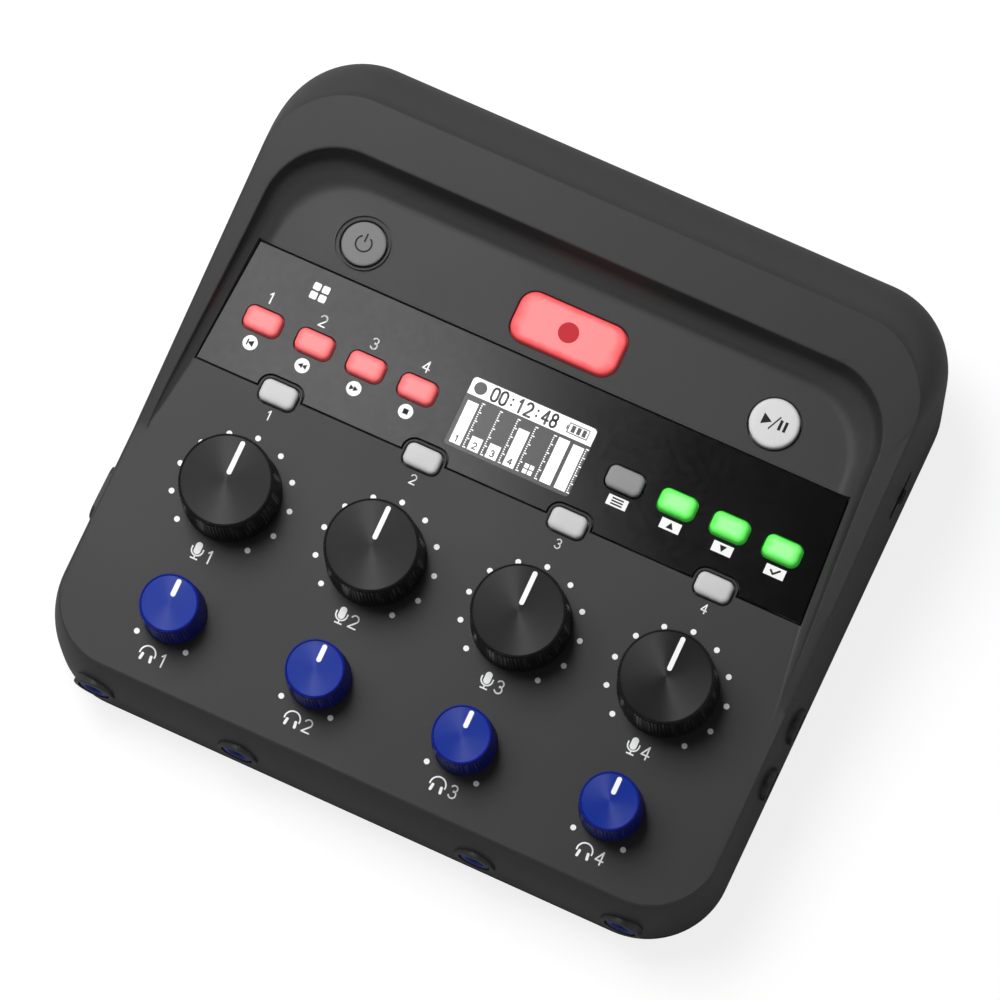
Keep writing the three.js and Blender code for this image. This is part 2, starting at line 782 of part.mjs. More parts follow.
// Battery bay and cells
const cellPitch = 2 * cellRadius + fitGap;
const cellSpan = cellLength + cellNubLength + fitGap;
const bayHalfWidth = (cellColumns * cellSpan + fitGap) / 2;
const bayRear = bayFront + cellRows * cellPitch + fitGap;
const doorTop = baseBottom + doorThickness;
const cellBottom = doorTop + 2 * fitGap;
const bayTop = cellBottom + 2 * cellRadius + fitGap;
const doorHalfWidth = bayHalfWidth + doorSideReach;
const doorFront = bayFront - doorFrontReach;
const tongueBottom = doorTop - doorTongueThickness;

function cell(column, row) {
  const profile = [
    [0, 0], [cellRadius, 0], [cellRadius, cellLength], [cellNubRadius, cellLength],
    [cellNubRadius, cellLength + cellNubLength], [0, cellLength + cellNubLength],
  ].map(([radius, along]) => new THREE.Vector2(radius, along));
  const turned = new THREE.LatheGeometry(profile, smallFacets).rotateZ(-Math.PI / 2);
  if (row % 2) {
    turned.rotateZ(Math.PI).translate(cellLength + cellNubLength, 0, 0);
  }
  return turned.translate(
    fitGap - bayHalfWidth + column * cellSpan,
    bayFront + fitGap + cellRadius + row * cellPitch,
    cellBottom + cellRadius);
}

// Base: a shallow tray with the bay's roof, the door's guides and pockets for the feet
const baseTop = seamHeight - fitGap;
const footX = rightX - footInsetX;
const feet = [-1, 1].flatMap((side) => [
  { name: side < 0 ? 'foot_front_left' : 'foot_front_right', x: side * footX, y: frontY + footInsetY },
  { name: side < 0 ? 'foot_rear_left' : 'foot_rear_right', x: side * footX, y: rearY - footInsetY },
]);
const casePosts = [-1, 1].flatMap((side) => (
  [frontY + casePostInsetY, rearY - casePostInsetY].map((y) => ({ x: side * (rightX - casePostInsetX), y }))
));

function baseForm() {
  return loft(baseEdgeInsets.map((inset, i) => mirroredRing(
    bodyOutline(0, inset), () => baseBottom + (baseTop - baseBottom) * baseEdgeRiseShares[i])));
}

function doorSlot(grow) {
  const rear = rearY + overrun;
  const panel = block(
    -doorHalfWidth - grow, doorHalfWidth + grow, doorFront - grow, rear,
    baseBottom - overrun, doorTop + grow);
  const tongues = block(
    -doorHalfWidth - doorTongueReach - grow, doorHalfWidth + doorTongueReach + grow, doorFront - grow, rear,
    tongueBottom - grow, doorTop + grow);
  return joined(panel, tongues);
}

function bottomCover() {
  const floorTop = baseBottom + baseFloorThickness;
  const trayRoom = loft([floorTop, baseTop + overrun].map((height) => (
    mirroredRing(bodyOutline(0, wall), () => height))));
  const bayShell = block(
    -bayHalfWidth - bayWall, bayHalfWidth + bayWall, bayFront - bayWall, bayRear + bayWall,
    floorTop - fitGap, bayTop + bayWall);
  const bayRoom = block(-bayHalfWidth, bayHalfWidth, bayFront, bayRear, baseBottom - overrun, bayTop);
  const tray = without(toSolid(baseForm()), [trayRoom]);
  const footPockets = feet.map((foot) => uprightRod(
    foot.x, foot.y, footRadius + fitGap, baseBottom - overrun, baseBottom + footPocketDepth));
  const housed = without(tray.add(toSolid(bayShell)), [bayRoom, ...footPockets]);
  return toGeometry(housed.subtract(doorSlot(fitGap)));
}

function batteryDoor() {
  const grips = [...Array(doorGripCount).keys()].map((i) => centredBlock(
    0, doorFront + (bayRear - doorFront) / 2 + (i - (doorGripCount - 1) / 2) * doorGripPitch,
    doorGripLength, doorGripWidth, baseBottom - overrun, baseBottom + doorGripDepth));
  return toGeometry(without(doorSlot(0).intersect(toSolid(baseForm())), grips));
}

function foot(place) {
  return uprightRod(place.x, place.y, footRadius, 0, baseBottom + footPocketDepth - fitGap);
}

// Top cover: the case's form, hollowed to its wall, with every opening of the panel and the walls
function topCover() {
  const shell = toSolid(bodyForm(0, seamHeight, cornerFacets, shoulderFacets))
    .subtract(toSolid(recessForm(0)));
  const room = toSolid(bodyForm(wall, seamHeight - overrun, innerCornerFacets, innerShoulderFacets))
    .subtract(toSolid(recessForm(wall)));
  const portFrameHeight = portOpeningHeight + 2 * portBorder;
  const postBottom = baseBottom + baseFloorThickness + fitGap;
  const bosses = [
    ...headphoneJackX.map((x) => rodAlongY(
      x, jackAxisHeight, jackBossRadius, frontY - jackBossProud, frontY + wall)),
    rodAlongX(phoneJackY, sideJackHeight, phoneBossRadius, rightX - wall, rightX + sideBossProud),
    rodAlongX(lineJackY, sideJackHeight, lineBossRadius, rightX - wall, rightX + sideBossProud),
    plate(
      roundedOutline(portFrameHeight, portWidth + 2 * portBorder, portFrameHeight * portFrameCornerShare),
      0, 0, 0, wall + sideBossProud,
    ).rotateY(Math.PI / 2).translate(-rightX - sideBossProud, portY, portHeight),
    ...panelPosts.map((post) => onPanel(uprightRod(
      post.x, post.y, postRadius, fitGap - panelBoardBelow, -wall / 2, hiddenFacets))),
    ...casePosts.map((post) => uprightRod(
      post.x, post.y, casePostRadius, postBottom, panelHeightAt(post.y) - wall / 2, hiddenFacets)),
  ];
  const bushingRoomRadius = shaftRadius + 2 * fitGap + bushingWall;
  const openings = [
    ...keys.map((key) => onPanel(keyHole(key))),
    ...Object.values(knobKinds).flatMap((kind) => channels.map((channel) => onPanel(uprightRod(
      channelX(channel), kind.y, bushingRoomRadius, -wall - overrun, overrun, hiddenFacets)))),
    onPanel(plate(inlayShape(fitGap), 0, 0, -inlayPocketDepth, overrun)),
    onPanel(plate(
      roundedOutline(displayWidth, displayDepth, displayCorner), 0, displayBehind, -wall - overrun, overrun)),
    ...headphoneJackX.map((x) => rodAlongY(
      x, jackAxisHeight, jackRingRadius + fitGap, frontY - overrun, frontY + wall + overrun)),
    ...[phoneJackY, lineJackY].map((y) => rodAlongX(
      y, sideJackHeight, sideJackRingRadius + fitGap, rightX - wall - overrun, rightX + overrun)),
    block(
      rightX - wall - overrun, rightX + overrun,
      switchY - switchSlotLength / 2, switchY + switchSlotLength / 2,
      switchHeight - switchSlotHeight / 2, switchHeight + switchSlotHeight / 2),
    plate(
      roundedOutline(
        portOpeningHeight + 2 * portShellWall + 2 * fitGap, portWidth + 2 * portShellWall + 2 * fitGap,
        portOpeningHeight * roundEndShare + portShellWall + fitGap),
      0, 0, -overrun, wall + 2 * overrun, 2).rotateY(Math.PI / 2).translate(-rightX, portY, portHeight),
    centredBlock(
      -rightX, cardY, 2 * (wall + overrun), cardSlotWidth + 2 * cardBodyWall + 2 * fitGap,
      cardHeight - cardSlotHeight / 2 - cardBodyWall - fitGap,
      cardHeight + cardSlotHeight / 2 + cardBodyWall + fitGap),
    ...channels.map((channel) => rodAlongY(
      channelX(channel, socketPitch), socketHeight, socketRadius + fitGap,
      rearY - wall - overrun, rearY + overrun, roundFacets)),
  ];
  const powerRing = toSolid(uprightRod(
    powerX, bigKeyRowBehind, powerRingDiameter / 2, -powerRingDepth, overrun, roundFacets))
    .subtract(toSolid(uprightRod(
      powerX, bigKeyRowBehind, powerRingDiameter / 2 - powerRingWidth, -overrun, 2 * overrun, roundFacets)));
  const hollow = bosses.reduce((rest, boss) => rest.add(toSolid(boss)), shell.subtract(room));
  return toGeometry(without(hollow, openings).subtract(toSolid(onPanel(toGeometry(powerRing)))));
}

// Assembly
const recorder = new THREE.Group();
const panel = new THREE.Group();
panel.rotation.x = panelTilt;
panel.position.set(0, panelOriginY, panelOriginZ);
recorder.add(panel);

function addPiece(parent, name, geometry, material) {
  const piece = new THREE.Mesh(geometry, material);
  piece.name = name;
  parent.add(piece);
}

addPiece(recorder, 'top_cover', topCover(), casePlastic);
addPiece(recorder, 'bottom_cover', bottomCover(), wallPlastic);
addPiece(recorder, 'battery_door', batteryDoor(), wallPlastic);
feet.forEach((place) => addPiece(recorder, place.name, foot(place), footRubber));
addPiece(recorder, 'main_board', mainBoard(), boardLaminate);
addPiece(panel, 'panel_board', panelBoard(), boardLaminate);
addPiece(panel, 'panel_inlay', inlay(), inlaySheet);
addPiece(panel, 'display_module', displayModule(), screenGlass);
keys.forEach((key) => addPiece(panel, key.name, keyCap(key), key.look));
Object.entries(knobKinds).forEach(([word, kind]) => channels.forEach((channel) => {
  addPiece(panel, `${word}_knob_${channel + 1}`, knob(kind, channelX(channel)), kind.look);
  addPiece(panel, `${word}_pot_${channel + 1}`, pot(kind, channelX(channel)), potMetal);
}));
headphoneJackX.forEach((x, i) => (
  addPiece(recorder, `headphone_jack_${i + 1}`, headphoneJack(x), blueKnobPlastic)
));
channels.forEach((channel) => (
  addPiece(recorder, `mic_socket_${channel + 1}`, micSocket(channelX(channel, socketPitch)), socketPlastic)
));
addPiece(recorder, 'phone_jack', sideJack(phoneJackY), socketPlastic);
addPiece(recorder, 'line_jack', sideJack(lineJackY), socketPlastic);
addPiece(recorder, 'slide_switch', slideSwitch(), socketPlastic);
addPiece(recorder, 'data_port', port(), shellMetal);
addPiece(recorder, 'card_slot', cardSlot(), shellMetal);
for (let column = 0; column < cellColumns; column += 1) {
  for (let row = 0; row < cellRows; row += 1) {
    addPiece(recorder, `cell_${column * cellRows + row + 1}`, cell(column, row), cellSleeve);
  }
}

export default recorder;
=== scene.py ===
# %% [markdown]
# # A podcast recorder with four channels
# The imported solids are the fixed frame. Each cell dresses or replaces some of them with finer pieces
# in the same place, on the same body. Lengths are in millimetres until a mesh is made.

# %% Load the frame
import math
import bpy
import bmesh
from mathutils import Matrix, Vector


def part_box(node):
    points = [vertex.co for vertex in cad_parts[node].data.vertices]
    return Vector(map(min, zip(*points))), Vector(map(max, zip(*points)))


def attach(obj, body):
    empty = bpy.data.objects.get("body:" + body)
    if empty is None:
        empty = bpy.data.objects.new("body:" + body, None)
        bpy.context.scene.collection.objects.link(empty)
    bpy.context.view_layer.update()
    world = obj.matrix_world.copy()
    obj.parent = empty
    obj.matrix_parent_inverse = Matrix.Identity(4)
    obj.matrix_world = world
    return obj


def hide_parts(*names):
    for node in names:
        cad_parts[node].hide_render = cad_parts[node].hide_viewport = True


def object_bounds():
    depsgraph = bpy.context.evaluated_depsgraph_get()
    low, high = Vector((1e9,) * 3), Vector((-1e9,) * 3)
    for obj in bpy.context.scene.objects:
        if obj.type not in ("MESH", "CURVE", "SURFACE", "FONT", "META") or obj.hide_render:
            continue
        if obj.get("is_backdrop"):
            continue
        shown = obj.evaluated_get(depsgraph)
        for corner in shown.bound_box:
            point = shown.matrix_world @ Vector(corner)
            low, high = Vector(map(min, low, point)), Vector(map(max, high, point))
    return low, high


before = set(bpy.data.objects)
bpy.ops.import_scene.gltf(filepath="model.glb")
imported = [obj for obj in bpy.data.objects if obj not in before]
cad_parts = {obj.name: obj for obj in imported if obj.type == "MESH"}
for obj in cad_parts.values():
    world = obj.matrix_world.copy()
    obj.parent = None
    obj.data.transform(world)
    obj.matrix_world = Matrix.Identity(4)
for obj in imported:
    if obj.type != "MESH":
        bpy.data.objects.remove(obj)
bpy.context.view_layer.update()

# %% [markdown]
# ## Measures and the panel's own frame
# The sunken panel leans back by five degrees. What is on it is placed in a frame that leans with
# it: x to the right, y up the slope, z out of the panel. One matrix takes a mesh from there.

# %% Measures shared by the pieces
MM = 0.001
half_width, front_y, rear_y = 77.0, -72.5, 72.5
front_edge_height, seam_height, wall, gap = 26.0, 5.6, 2.4, 0.3
side_inset, front_inset, crest_inset = 1.9, 2.7, 11.8
panel_tilt, rim_tilt = math.radians(5), math.radians(11.6)
origin_depth, fold = 47, 5.0
panel_y = front_y + origin_depth
panel_z = front_edge_height + (origin_depth - front_inset) * math.tan(panel_tilt)
fold_y = panel_y + fold * math.cos(panel_tilt)
rim_rise = math.tan(rim_tilt - panel_tilt)
channel_x = [(channel - 1.5) * 33.5 for channel in range(4)]
headphone_row, mute_row, key_row, display_y, big_row = -28, 23.0, 36.0, 35.85, 59.9
play_x, power_x = 47.4, -47.7


def shift(x=0.0, y=0.0, z=0.0):
    """A move by millimetres."""
    return Matrix.Translation((x * MM, y * MM, z * MM))


def rotation(degrees, axis):
    return Matrix.Rotation(math.radians(degrees), 4, axis)


upright = Matrix.Identity(4)
panel_place = shift(0, panel_y, panel_z) @ Matrix.Rotation(panel_tilt, 4, "X")


def to_world(x, y, height):
    """A point of the panel's frame in the recorder's frame, in millimetres."""
    return tuple((panel_place @ (Vector((x, y, height)) * MM)) / MM)


def panel_height_at(y):
    return front_edge_height + (y - front_y - front_inset) * math.tan(panel_tilt)


def top_height_at(y):
    return panel_height_at(min(y, fold_y)) + max(0.0, y - fold_y) * math.tan(rim_tilt)


print("panel origin", round(panel_y, 2), round(panel_z, 2), "rear crest", round(top_height_at(rear_y - crest_inset), 2))

# %% [markdown]
# ## One function for colours, a few for nodes
# A material is written with the hex colours that an artist would pick on screen, and one function
# turns them to linear values. The others add a node in one call and answer with its output.

# %% Colour and node helpers
def paint(code):
    """sRGB hex to linear red, green, blue and alpha."""
    parts = [int(code[i:i + 2], 16) / 255 for i in (1, 3, 5)]
    return tuple(c / 12.92 if c <= 0.04045 else ((c + 0.055) / 1.055) ** 2.4 for c in parts) + (1.0,)


def feed(node, inputs):
    """Each input, by name or number, takes a value or another node's output."""
    for name, value in inputs.items():
        if isinstance(value, bpy.types.NodeSocket):
            node.id_data.links.new(value, node.inputs[name])
        else:
            node.inputs[name].default_value = value


def add(tree, kind, settings=None, inputs=None, out=0):
    made = tree.nodes.new(kind)
    for name, value in (settings or {}).items():
        setattr(made, name, value)
    feed(made, inputs or {})
    return made.outputs[out]


def maths(tree, operation, *parts):
    return add(tree, "ShaderNodeMath", {"operation": operation}, dict(enumerate(parts)))


def noise(tree, size, detail):
    """A noise in the piece's own space, with features of that size in millimetres."""
    place = add(tree, "ShaderNodeTexCoord", out="Object")
    return add(tree, "ShaderNodeTexNoise", None, {"Scale": 1.0 / (size * MM), "Detail": detail, "Vector": place})


def blend(tree, tone, other, share):
    return add(tree, "ShaderNodeMix", {"data_type": "RGBA"}, {6: paint(tone), 7: paint(other), 0: share}, 2)


def ramp(tree, value, low, high, to_low=0.0, to_high=1.0, kind="LINEAR"):
    return add(tree, "ShaderNodeMapRange", {"interpolation_type": kind}, {
        "Value": value, "From Min": low, "From Max": high, "To Min": to_low, "To Max": to_high})


def bumps(tree, height, depth, strength=1.0):
    return add(tree, "ShaderNodeBump", None, {"Strength": strength, "Distance": depth * MM, "Height": height})


def start_material(name):
    made = bpy.data.materials.new(name)
    made.use_nodes = True
    return made, made.node_tree, made.node_tree.nodes["Principled BSDF"]


# %% [markdown]
# ## Finishes
# The case is moulded ABS with a fine spark-eroded skin that scatters the light. In such a plastic a
# slow cloud varies the tone, a fine noise gives the grain, and both touch the roughness.

# %% Moulded plastics and rubber
def moulded(name, tone, other, roughness, grain, depth, cloud=26.0, uneven=0.05, specular=0.5):
    """Moulded plastic: two near tones, a grain in millimetres and its depth in millimetres."""
    made, tree, shader = start_material(name)
    slow, fine = noise(tree, cloud, 3.0), noise(tree, grain, 2.0)
    both = maths(tree, "ADD", slow, fine)
    feed(shader, {
        "Base Color": blend(tree, tone, other, slow), "Normal": bumps(tree, fine, depth),
        "Roughness": ramp(tree, both, 0.6, 1.4, roughness - uneven, roughness + uneven),
        "IOR": 1.5, "Specular IOR Level": specular})
    return made


# ABS with a spark-eroded skin: matt, and a shade lighter where hands have polished it
case_abs = moulded("case_abs_textured", "#303030", "#343434", 0.4, 0.35, 0.01, specular=0.56)
# The case's ABS in a darker tone, for the tray under the seam: its colour is painted shade, standing for the shade on
# the lowest walls
base_abs_painted_shade = moulded("base_abs_textured", "#1e1e1f", "#222223", 0.6, 0.35, 0.014, specular=0.3)
# Polycarbonate film, printed black on its back, so its face is smooth and deep
inlay_film = moulded(
    "inlay_polycarbonate_film", "#050506", "#070708", 0.16, 1.6, 0.0012, uneven=0.03, specular=0.38)
# Thermoplastic rubber of the feet: dull, with a dusty bloom
foot_rubber = moulded("foot_thermoplastic_rubber", "#1c1c1c", "#262626", 0.85, 0.5, 0.03, cloud=5.0)
# Nylon of the jack housings and the rear sockets: black and a little glossy
socket_nylon = moulded("socket_glass_filled_nylon", "#161617", "#1d1d1f", 0.42, 0.3, 0.008)
# ABS collar that marks the headphone outputs
collar_abs = moulded("collar_blue_abs", "#0c2486", "#12309c", 0.36, 0.3, 0.004)
# Silicone and ABS keys that aren't lit
mute_silicone = moulded("mute_key_silicone", "#c4c4c5", "#cdcdcd", 0.5, 0.3, 0.005, cloud=6.0)
menu_silicone = moulded("menu_key_silicone", "#8b8b8c", "#939394", 0.5, 0.3, 0.005, cloud=6.0)
play_abs = moulded("play_key_satin_abs", "#d2d2d2", "#dadada", 0.42, 0.3, 0.003, cloud=8.0)
power_abs = moulded("power_key_satin_abs", "#707071", "#787879", 0.45, 0.3, 0.004, cloud=8.0)
# Screen printing: thick ink with a soft edge gloss
white_ink = moulded("white_screen_print", "#f6f6f6", "#fbfbfb", 0.5, 0.12, 0.004, cloud=2.0)
dark_ink = moulded("dark_screen_print", "#161617", "#1c1c1d", 0.5, 0.12, 0.004, cloud=2.0)
dot_ink = moulded("record_dot_print", "#b9202c", "#c02632", 0.5, 0.2, 0.002, cloud=2.0)
print("plastics:", len(bpy.data.materials))

# %% [markdown]
# ## Lit keys
# The record key, the pads and three menu keys are milky silicone over a lamp: pale where the light
# comes straight through and deeper in colour at the edge. Each cap has a UV map from its middle to
# its rim, and the material mixes two tones along it and adds a weak glow.

# %% Lit silicone
def lit_silicone(name, middle, rim, glow, start):
    made, tree, shader = start_material(name)
    reach = add(tree, "ShaderNodeUVMap", {"uv_map": "reach"})
    across = add(tree, "ShaderNodeSeparateXYZ", None, {0: reach})
    drift = maths(tree, "MULTIPLY_ADD", noise(tree, 2.2, 2.0), 0.16, -0.08)
    share = ramp(tree, maths(tree, "ADD", across, drift), start, 1.0, kind="SMOOTHSTEP")
    tint = blend(tree, middle, rim, share)
    feed(shader, {
        "Base Color": tint, "Emission Color": tint, "Emission Strength": glow,
        "Normal": bumps(tree, noise(tree, 0.3, 1.0), 0.004), "Roughness": 0.45, "IOR": 1.41})
    return made


red_silicone = lit_silicone("red_key_lit_silicone", "#f0898a", "#ee686b", 0.18, 0.5)
record_silicone = lit_silicone("record_key_lit_silicone", "#f58687", "#f0565a", 0.17, 0.75)
green_silicone = lit_silicone("green_key_lit_silicone", "#98f094", "#58e854", 0.22, 0.4)
print("lit finishes ready")

# %% [markdown]
# ## Meshes from rings
# Nearly every piece is a loft: closed rings of points, joined by strips and capped at both ends.
# Rings keep each rounding where a drawing would put it, also where faces meet at shallow angles.

# %% Mesh helpers
def loft(rings, caps=(True, True)):
    """Vertices and faces of closed rings with the same number of points."""
    count = len(rings[0])
    vertices = [tuple(point) for ring in rings for point in ring]
    faces = []
    for ring in range(len(rings) - 1):
        for i in range(count):
            here, after = ring * count + i, ring * count + (i + 1) % count
            faces.append((here, after, after + count, here + count))
    if caps[0]:
        faces.append(tuple(reversed(range(count))))
    if caps[1]:
        faces.append(tuple(range(len(vertices) - count, len(vertices))))
    return vertices, faces


def together(solids):
    """Several (vertices, faces) pairs as one."""
    vertices, faces = [], []
    for points, sides in solids:
        start = len(vertices)
        vertices.extend(points)
        faces.extend(tuple(start + i for i in side) for side in sides)
    return vertices, faces


def placed(solid, place):
    """A solid in millimetres, moved by a matrix in metres."""
    return [tuple((place @ (Vector(p) * MM)) / MM) for p in solid[0]], solid[1]


def stand(name, data):
    """An object at the origin for that mesh, lamp or camera."""
    made = bpy.data.objects.new(name, data)
    bpy.context.scene.collection.objects.link(made)
    return made


def smooth(mesh, angle):
    """Soft shading with crisp edges above that angle."""
    mesh.shade_smooth()
    mesh.set_sharp_from_angle(angle=math.radians(angle))


def new_piece(name, solid, material, place=upright, angle=32):
    """An object whose mesh is that solid, doubles merged and faces turned outwards."""
    mesh = bpy.data.meshes.new(name)
    mesh.from_pydata([tuple(c * MM for c in point) for point in solid[0]], [], solid[1])
    work = bmesh.new()
    work.from_mesh(mesh)
    bmesh.ops.remove_doubles(work, verts=work.verts, dist=0.0005 * MM)
    bmesh.ops.dissolve_degenerate(work, edges=work.edges, dist=0.0002 * MM)
    bmesh.ops.recalc_face_normals(work, faces=work.faces)
    work.to_mesh(mesh)
    work.free()
    mesh.transform(place)
    smooth(mesh, angle)
    mesh.materials.append(material)
    return stand(name, mesh)


def bake(piece):
    """The evaluated modifiers become the piece's plain mesh."""
    bpy.context.view_layer.update()
    mesh = bpy.data.meshes.new_from_object(piece.evaluated_get(bpy.context.evaluated_depsgraph_get()))
    old = piece.data
    piece.modifiers.clear()
    piece.data = mesh
    mesh.name = piece.name
    bpy.data.meshes.remove(old)
    return piece


def even(piece, *flats):
    """Normals weighted by area, and not bent at all on the wide faces that look along one of the flats."""
    wide = 8 * MM * MM
    for side in piece.data.polygons:
        if side.area > wide and any(side.normal.dot(flat_one) > 0.99998 for flat_one in flats):
            side.use_smooth = False
    weigh = piece.modifiers.new("even", "WEIGHTED_NORMAL")
    weigh.keep_sharp, weigh.weight, weigh.thresh = True, 50, 0.01
    return bake(piece)


def carve(piece, solids, operation="DIFFERENCE", place=upright):
    """Cuts the solids out of a piece, joins them to it, or keeps what they share."""
    tool = new_piece(piece.name + "_tool", together(solids), piece.data.materials[0], place)
    modifier = piece.modifiers.new(operation.lower(), "BOOLEAN")
    modifier.operation, modifier.solver, modifier.object = operation, "EXACT", tool
    bake(piece)
    smooth(piece.data, 32)
    bpy.data.objects.remove(tool)
    return piece


def solid_of(piece):
    """The vertices in millimetres and the faces of a piece that is only a tool, which goes."""
    solid = [tuple(v.co / MM) for v in piece.data.vertices], [tuple(side.vertices) for side in piece.data.polygons]
    bpy.data.objects.remove(piece)
    return solid


def merged(name, pieces):
    """Several loose meshes as one piece, each with its own material."""
    bpy.ops.object.select_all(action="DESELECT")
    for piece in pieces:
        piece.select_set(True)
    bpy.context.view_layer.objects.active = pieces[0]
    bpy.ops.object.join()
    pieces[0].name = pieces[0].data.name = name
    return pieces[0]


def settle(piece, body, *nodes, slot=None):
    """The piece rides on its body and stands for those nodes."""
    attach(piece, body)
    if nodes:
        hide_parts(*nodes)
    return piece


# %% [markdown]
# ## Outlines
# Keys, collars and slots are rounded rectangles or circles. A chamfered hole is the same outline
# twice, a little wider at the mouth.

# %% Outline and prism helpers
def arc(x, y, radius, start, end, steps):
    """Points of an arc; the angles are in degrees."""
    turns = [math.radians(start + (end - start) * i / steps) for i in range(steps + 1)]
    return [(x + radius * math.cos(turn), y + radius * math.sin(turn)) for turn in turns]


def rounded(width, depth, corner, grow=0.0, steps=8):
    """A rounded rectangle round the origin."""
    x, y, r = width / 2 - corner, depth / 2 - corner, corner + grow
    return (arc(x, y, r, 0, 90, steps) + arc(-x, y, r, 90, 180, steps)
            + arc(-x, -y, r, 180, 270, steps) + arc(x, -y, r, 270, 360, steps))


def circle(radius, grow=0.0, steps=64):
    return arc(0, 0, radius + grow, 0, 360 * (steps - 1) / steps, steps - 1)


def bar(width, depth):
    return [(width / 2, depth / 2), (-width / 2, depth / 2), (-width / 2, -depth / 2), (width / 2, -depth / 2)]


def moved(outline, x, y):
    return [(px + x, py + y) for px, py in outline]


def moved_ring(outline, x, y, z):
    return [(px + x, py + y, z) for px, py in outline]


def stack(outline_at, steps, x=0.0, y=0.0):
    """A loft of one outline: each step says how far it grows and how high it lies."""
    return loft([moved_ring(outline_at(grow), x, y, z) for grow, z in steps])


def prism(outline, low, high):
    return stack(lambda grow: outline, [(0, low), (0, high)])


def chamfered_hole(outline_at, x, y, low, chamfer):
    """A cutter that comes up through a face at height 0, with a small chamfer at its edge."""
    return stack(outline_at, [(0.0, low), (0.0, -chamfer), (chamfer, 0.0), (chamfer, 4.0)], x, y)


def turned(profile, steps=64):
    """A lathe piece round z from (radius, height) pairs; it starts and ends on the axis."""
    turns = [2 * math.pi * i / steps for i in range(steps)]
    return loft([[(r * math.cos(turn), r * math.sin(turn), z) for turn in turns] for r, z in profile])


def on_wall(solid, x, y, z, side):
    """Lays a solid on its side: its height runs along +Y for the front and rear, along +X for the sides."""
    points, faces = solid
    if side == "y":
        return [(px + x, pz + y, py + z) for px, py, pz in points], faces
    return [(pz + x, px + y, py + z) for px, py, pz in points], faces


print("helpers ready")

# %% [markdown]
# ## Top cover
# The cover is one moulding, and its skin is one loft. The rings start at the seam, climb to a soft
# shoulder and come back in over the rim, its rounded lip, the sloping wall and a small fillet to the
# sunken panel. A second loft, the room inside, is then cut out of it.

# %% Rings of the cover
corner_steps, side_steps = 20, 10


def side_points(x, start, end):
    """Points up a side, closer together towards the fold, where the recess begins."""
    return [(x, start + (end - start) * (i / side_steps) ** 1.5) for i in range(side_steps)]


def half_outline(half, front, rear, front_corner, rear_corner):
    return (arc(half - front_corner, front + front_corner, front_corner, -90, 0, corner_steps)
            + side_points(half, fold_y, rear - rear_corner)
            + arc(half - rear_corner, rear - rear_corner, rear_corner, 0, 90, corner_steps))


def body_outline(inset, shrink):
    """The case's outline: inset 0 at the waist, 1 at the crest."""
    return half_outline(
        half_width - shrink - side_inset * inset, front_y + shrink + front_inset * inset,
        rear_y - shrink - crest_inset * inset,
        18 + (15.2 - 18) * inset - shrink, 19 + (18.4 - 19) * inset - shrink)


def mirrored(points):
    return list(points) + [(-x, y, z) for x, y, z in reversed(points)]


def level_ring(inset, z):
    """The waist's outline, drawn in by that much, as a closed ring at one height."""
    return mirrored([(x, y, z) for x, y in body_outline(0, inset)])


def shoulder_rings(shrink, steps, first_turn=0.0, straight=0.0, soften=0.0):
    """From the waist up to the crest; a first turn over zero leaves a crisp edge at the crest."""
    crest = body_outline(1, shrink)
    start = math.radians(first_turn)
    rings = []
    for step in range(steps, -1, -1):
        turn = start + (math.pi / 2 - start) * step / steps
        inset = (1 - math.sin(turn)) / (1 - math.sin(start))
        fall = (1 - straight) * (1 - math.cos(turn) / math.cos(start)) + straight * (1 - inset)
        drop = shrink + 14 * fall + (0 if step else soften)
        outline = body_outline(inset, shrink)
        rings.append(mirrored([(x, y, top_height_at(crest[i][1]) - drop) for i, (x, y) in enumerate(outline)]))
    return rings


recess_half, recess_rear, recess_flare, front_radius, rear_radius, draft = 69.3, 74.4, 3.4, 7, 16.2, 0.2
recess_base = (
    arc(recess_half + recess_flare - front_radius, fold - front_radius, front_radius, -90, 0, corner_steps)
    + [(recess_half + recess_flare * (1 - (i / side_steps) ** 1.5), y)
       for i, (x, y) in enumerate(side_points(0, fold, recess_rear - rear_radius))]
    + arc(recess_half - rear_radius, recess_rear - rear_radius, rear_radius, 0, 90, corner_steps))
recess_shift = arc(0, 0, 1, -90, 0, corner_steps) + [(1, 0)] * side_steps + [(1, 1)] * (corner_steps + 1)


def recess_ring(profile_of):
    """A ring round the sunken face; profile_of gives (lean, height) from the rim height there."""
    points = []
    for (x, y), (sx, sy) in zip(recess_base, recess_shift):
        rim = max(0.0, (y - fold) * rim_rise) / (1 - sy * draft * rim_rise)
        lean, height = profile_of(rim, sy)
        points.append(to_world(x + sx * lean, y + sy * lean, height))
    return mirrored(points)


lip_radius, fillet_radius, soft_end, lowest_rim = 0.4, 5.4, 6.0, 0.15


def wall_lean(rim):
    """How far the wall leans out at its top: low walls are shallow, so the recess fades out at the fold."""
    return draft * rim + 1.1 * rim / (rim + 0.8) * max(0.0, 1 - rim / soft_end) ** 2


def lip_of(rim, sy):
    """The wall's turn, the rim's slope, the lip's radius and how far the lip reaches down the wall."""
    turn, slope = math.atan2(rim, wall_lean(rim)), math.atan(sy * rim_rise)
    r = min(lip_radius, 0.25 * rim)
    return turn, slope, r, r * math.tan((turn - slope) / 2)


def fillet_point(share):
    def at(rim, sy):
        if rim < lowest_rim:
            return -0.9 + 0.85 * share, 0.0
        turn, slope, lip, reach = lip_of(rim, sy)
        r = min(fillet_radius, 2.5 * rim, 0.96 * (rim / math.sin(turn) - reach) / math.tan(turn / 2))
        return r * math.sin(turn * share) - r * math.tan(turn / 2), r * (1 - math.cos(turn * share))
    return at


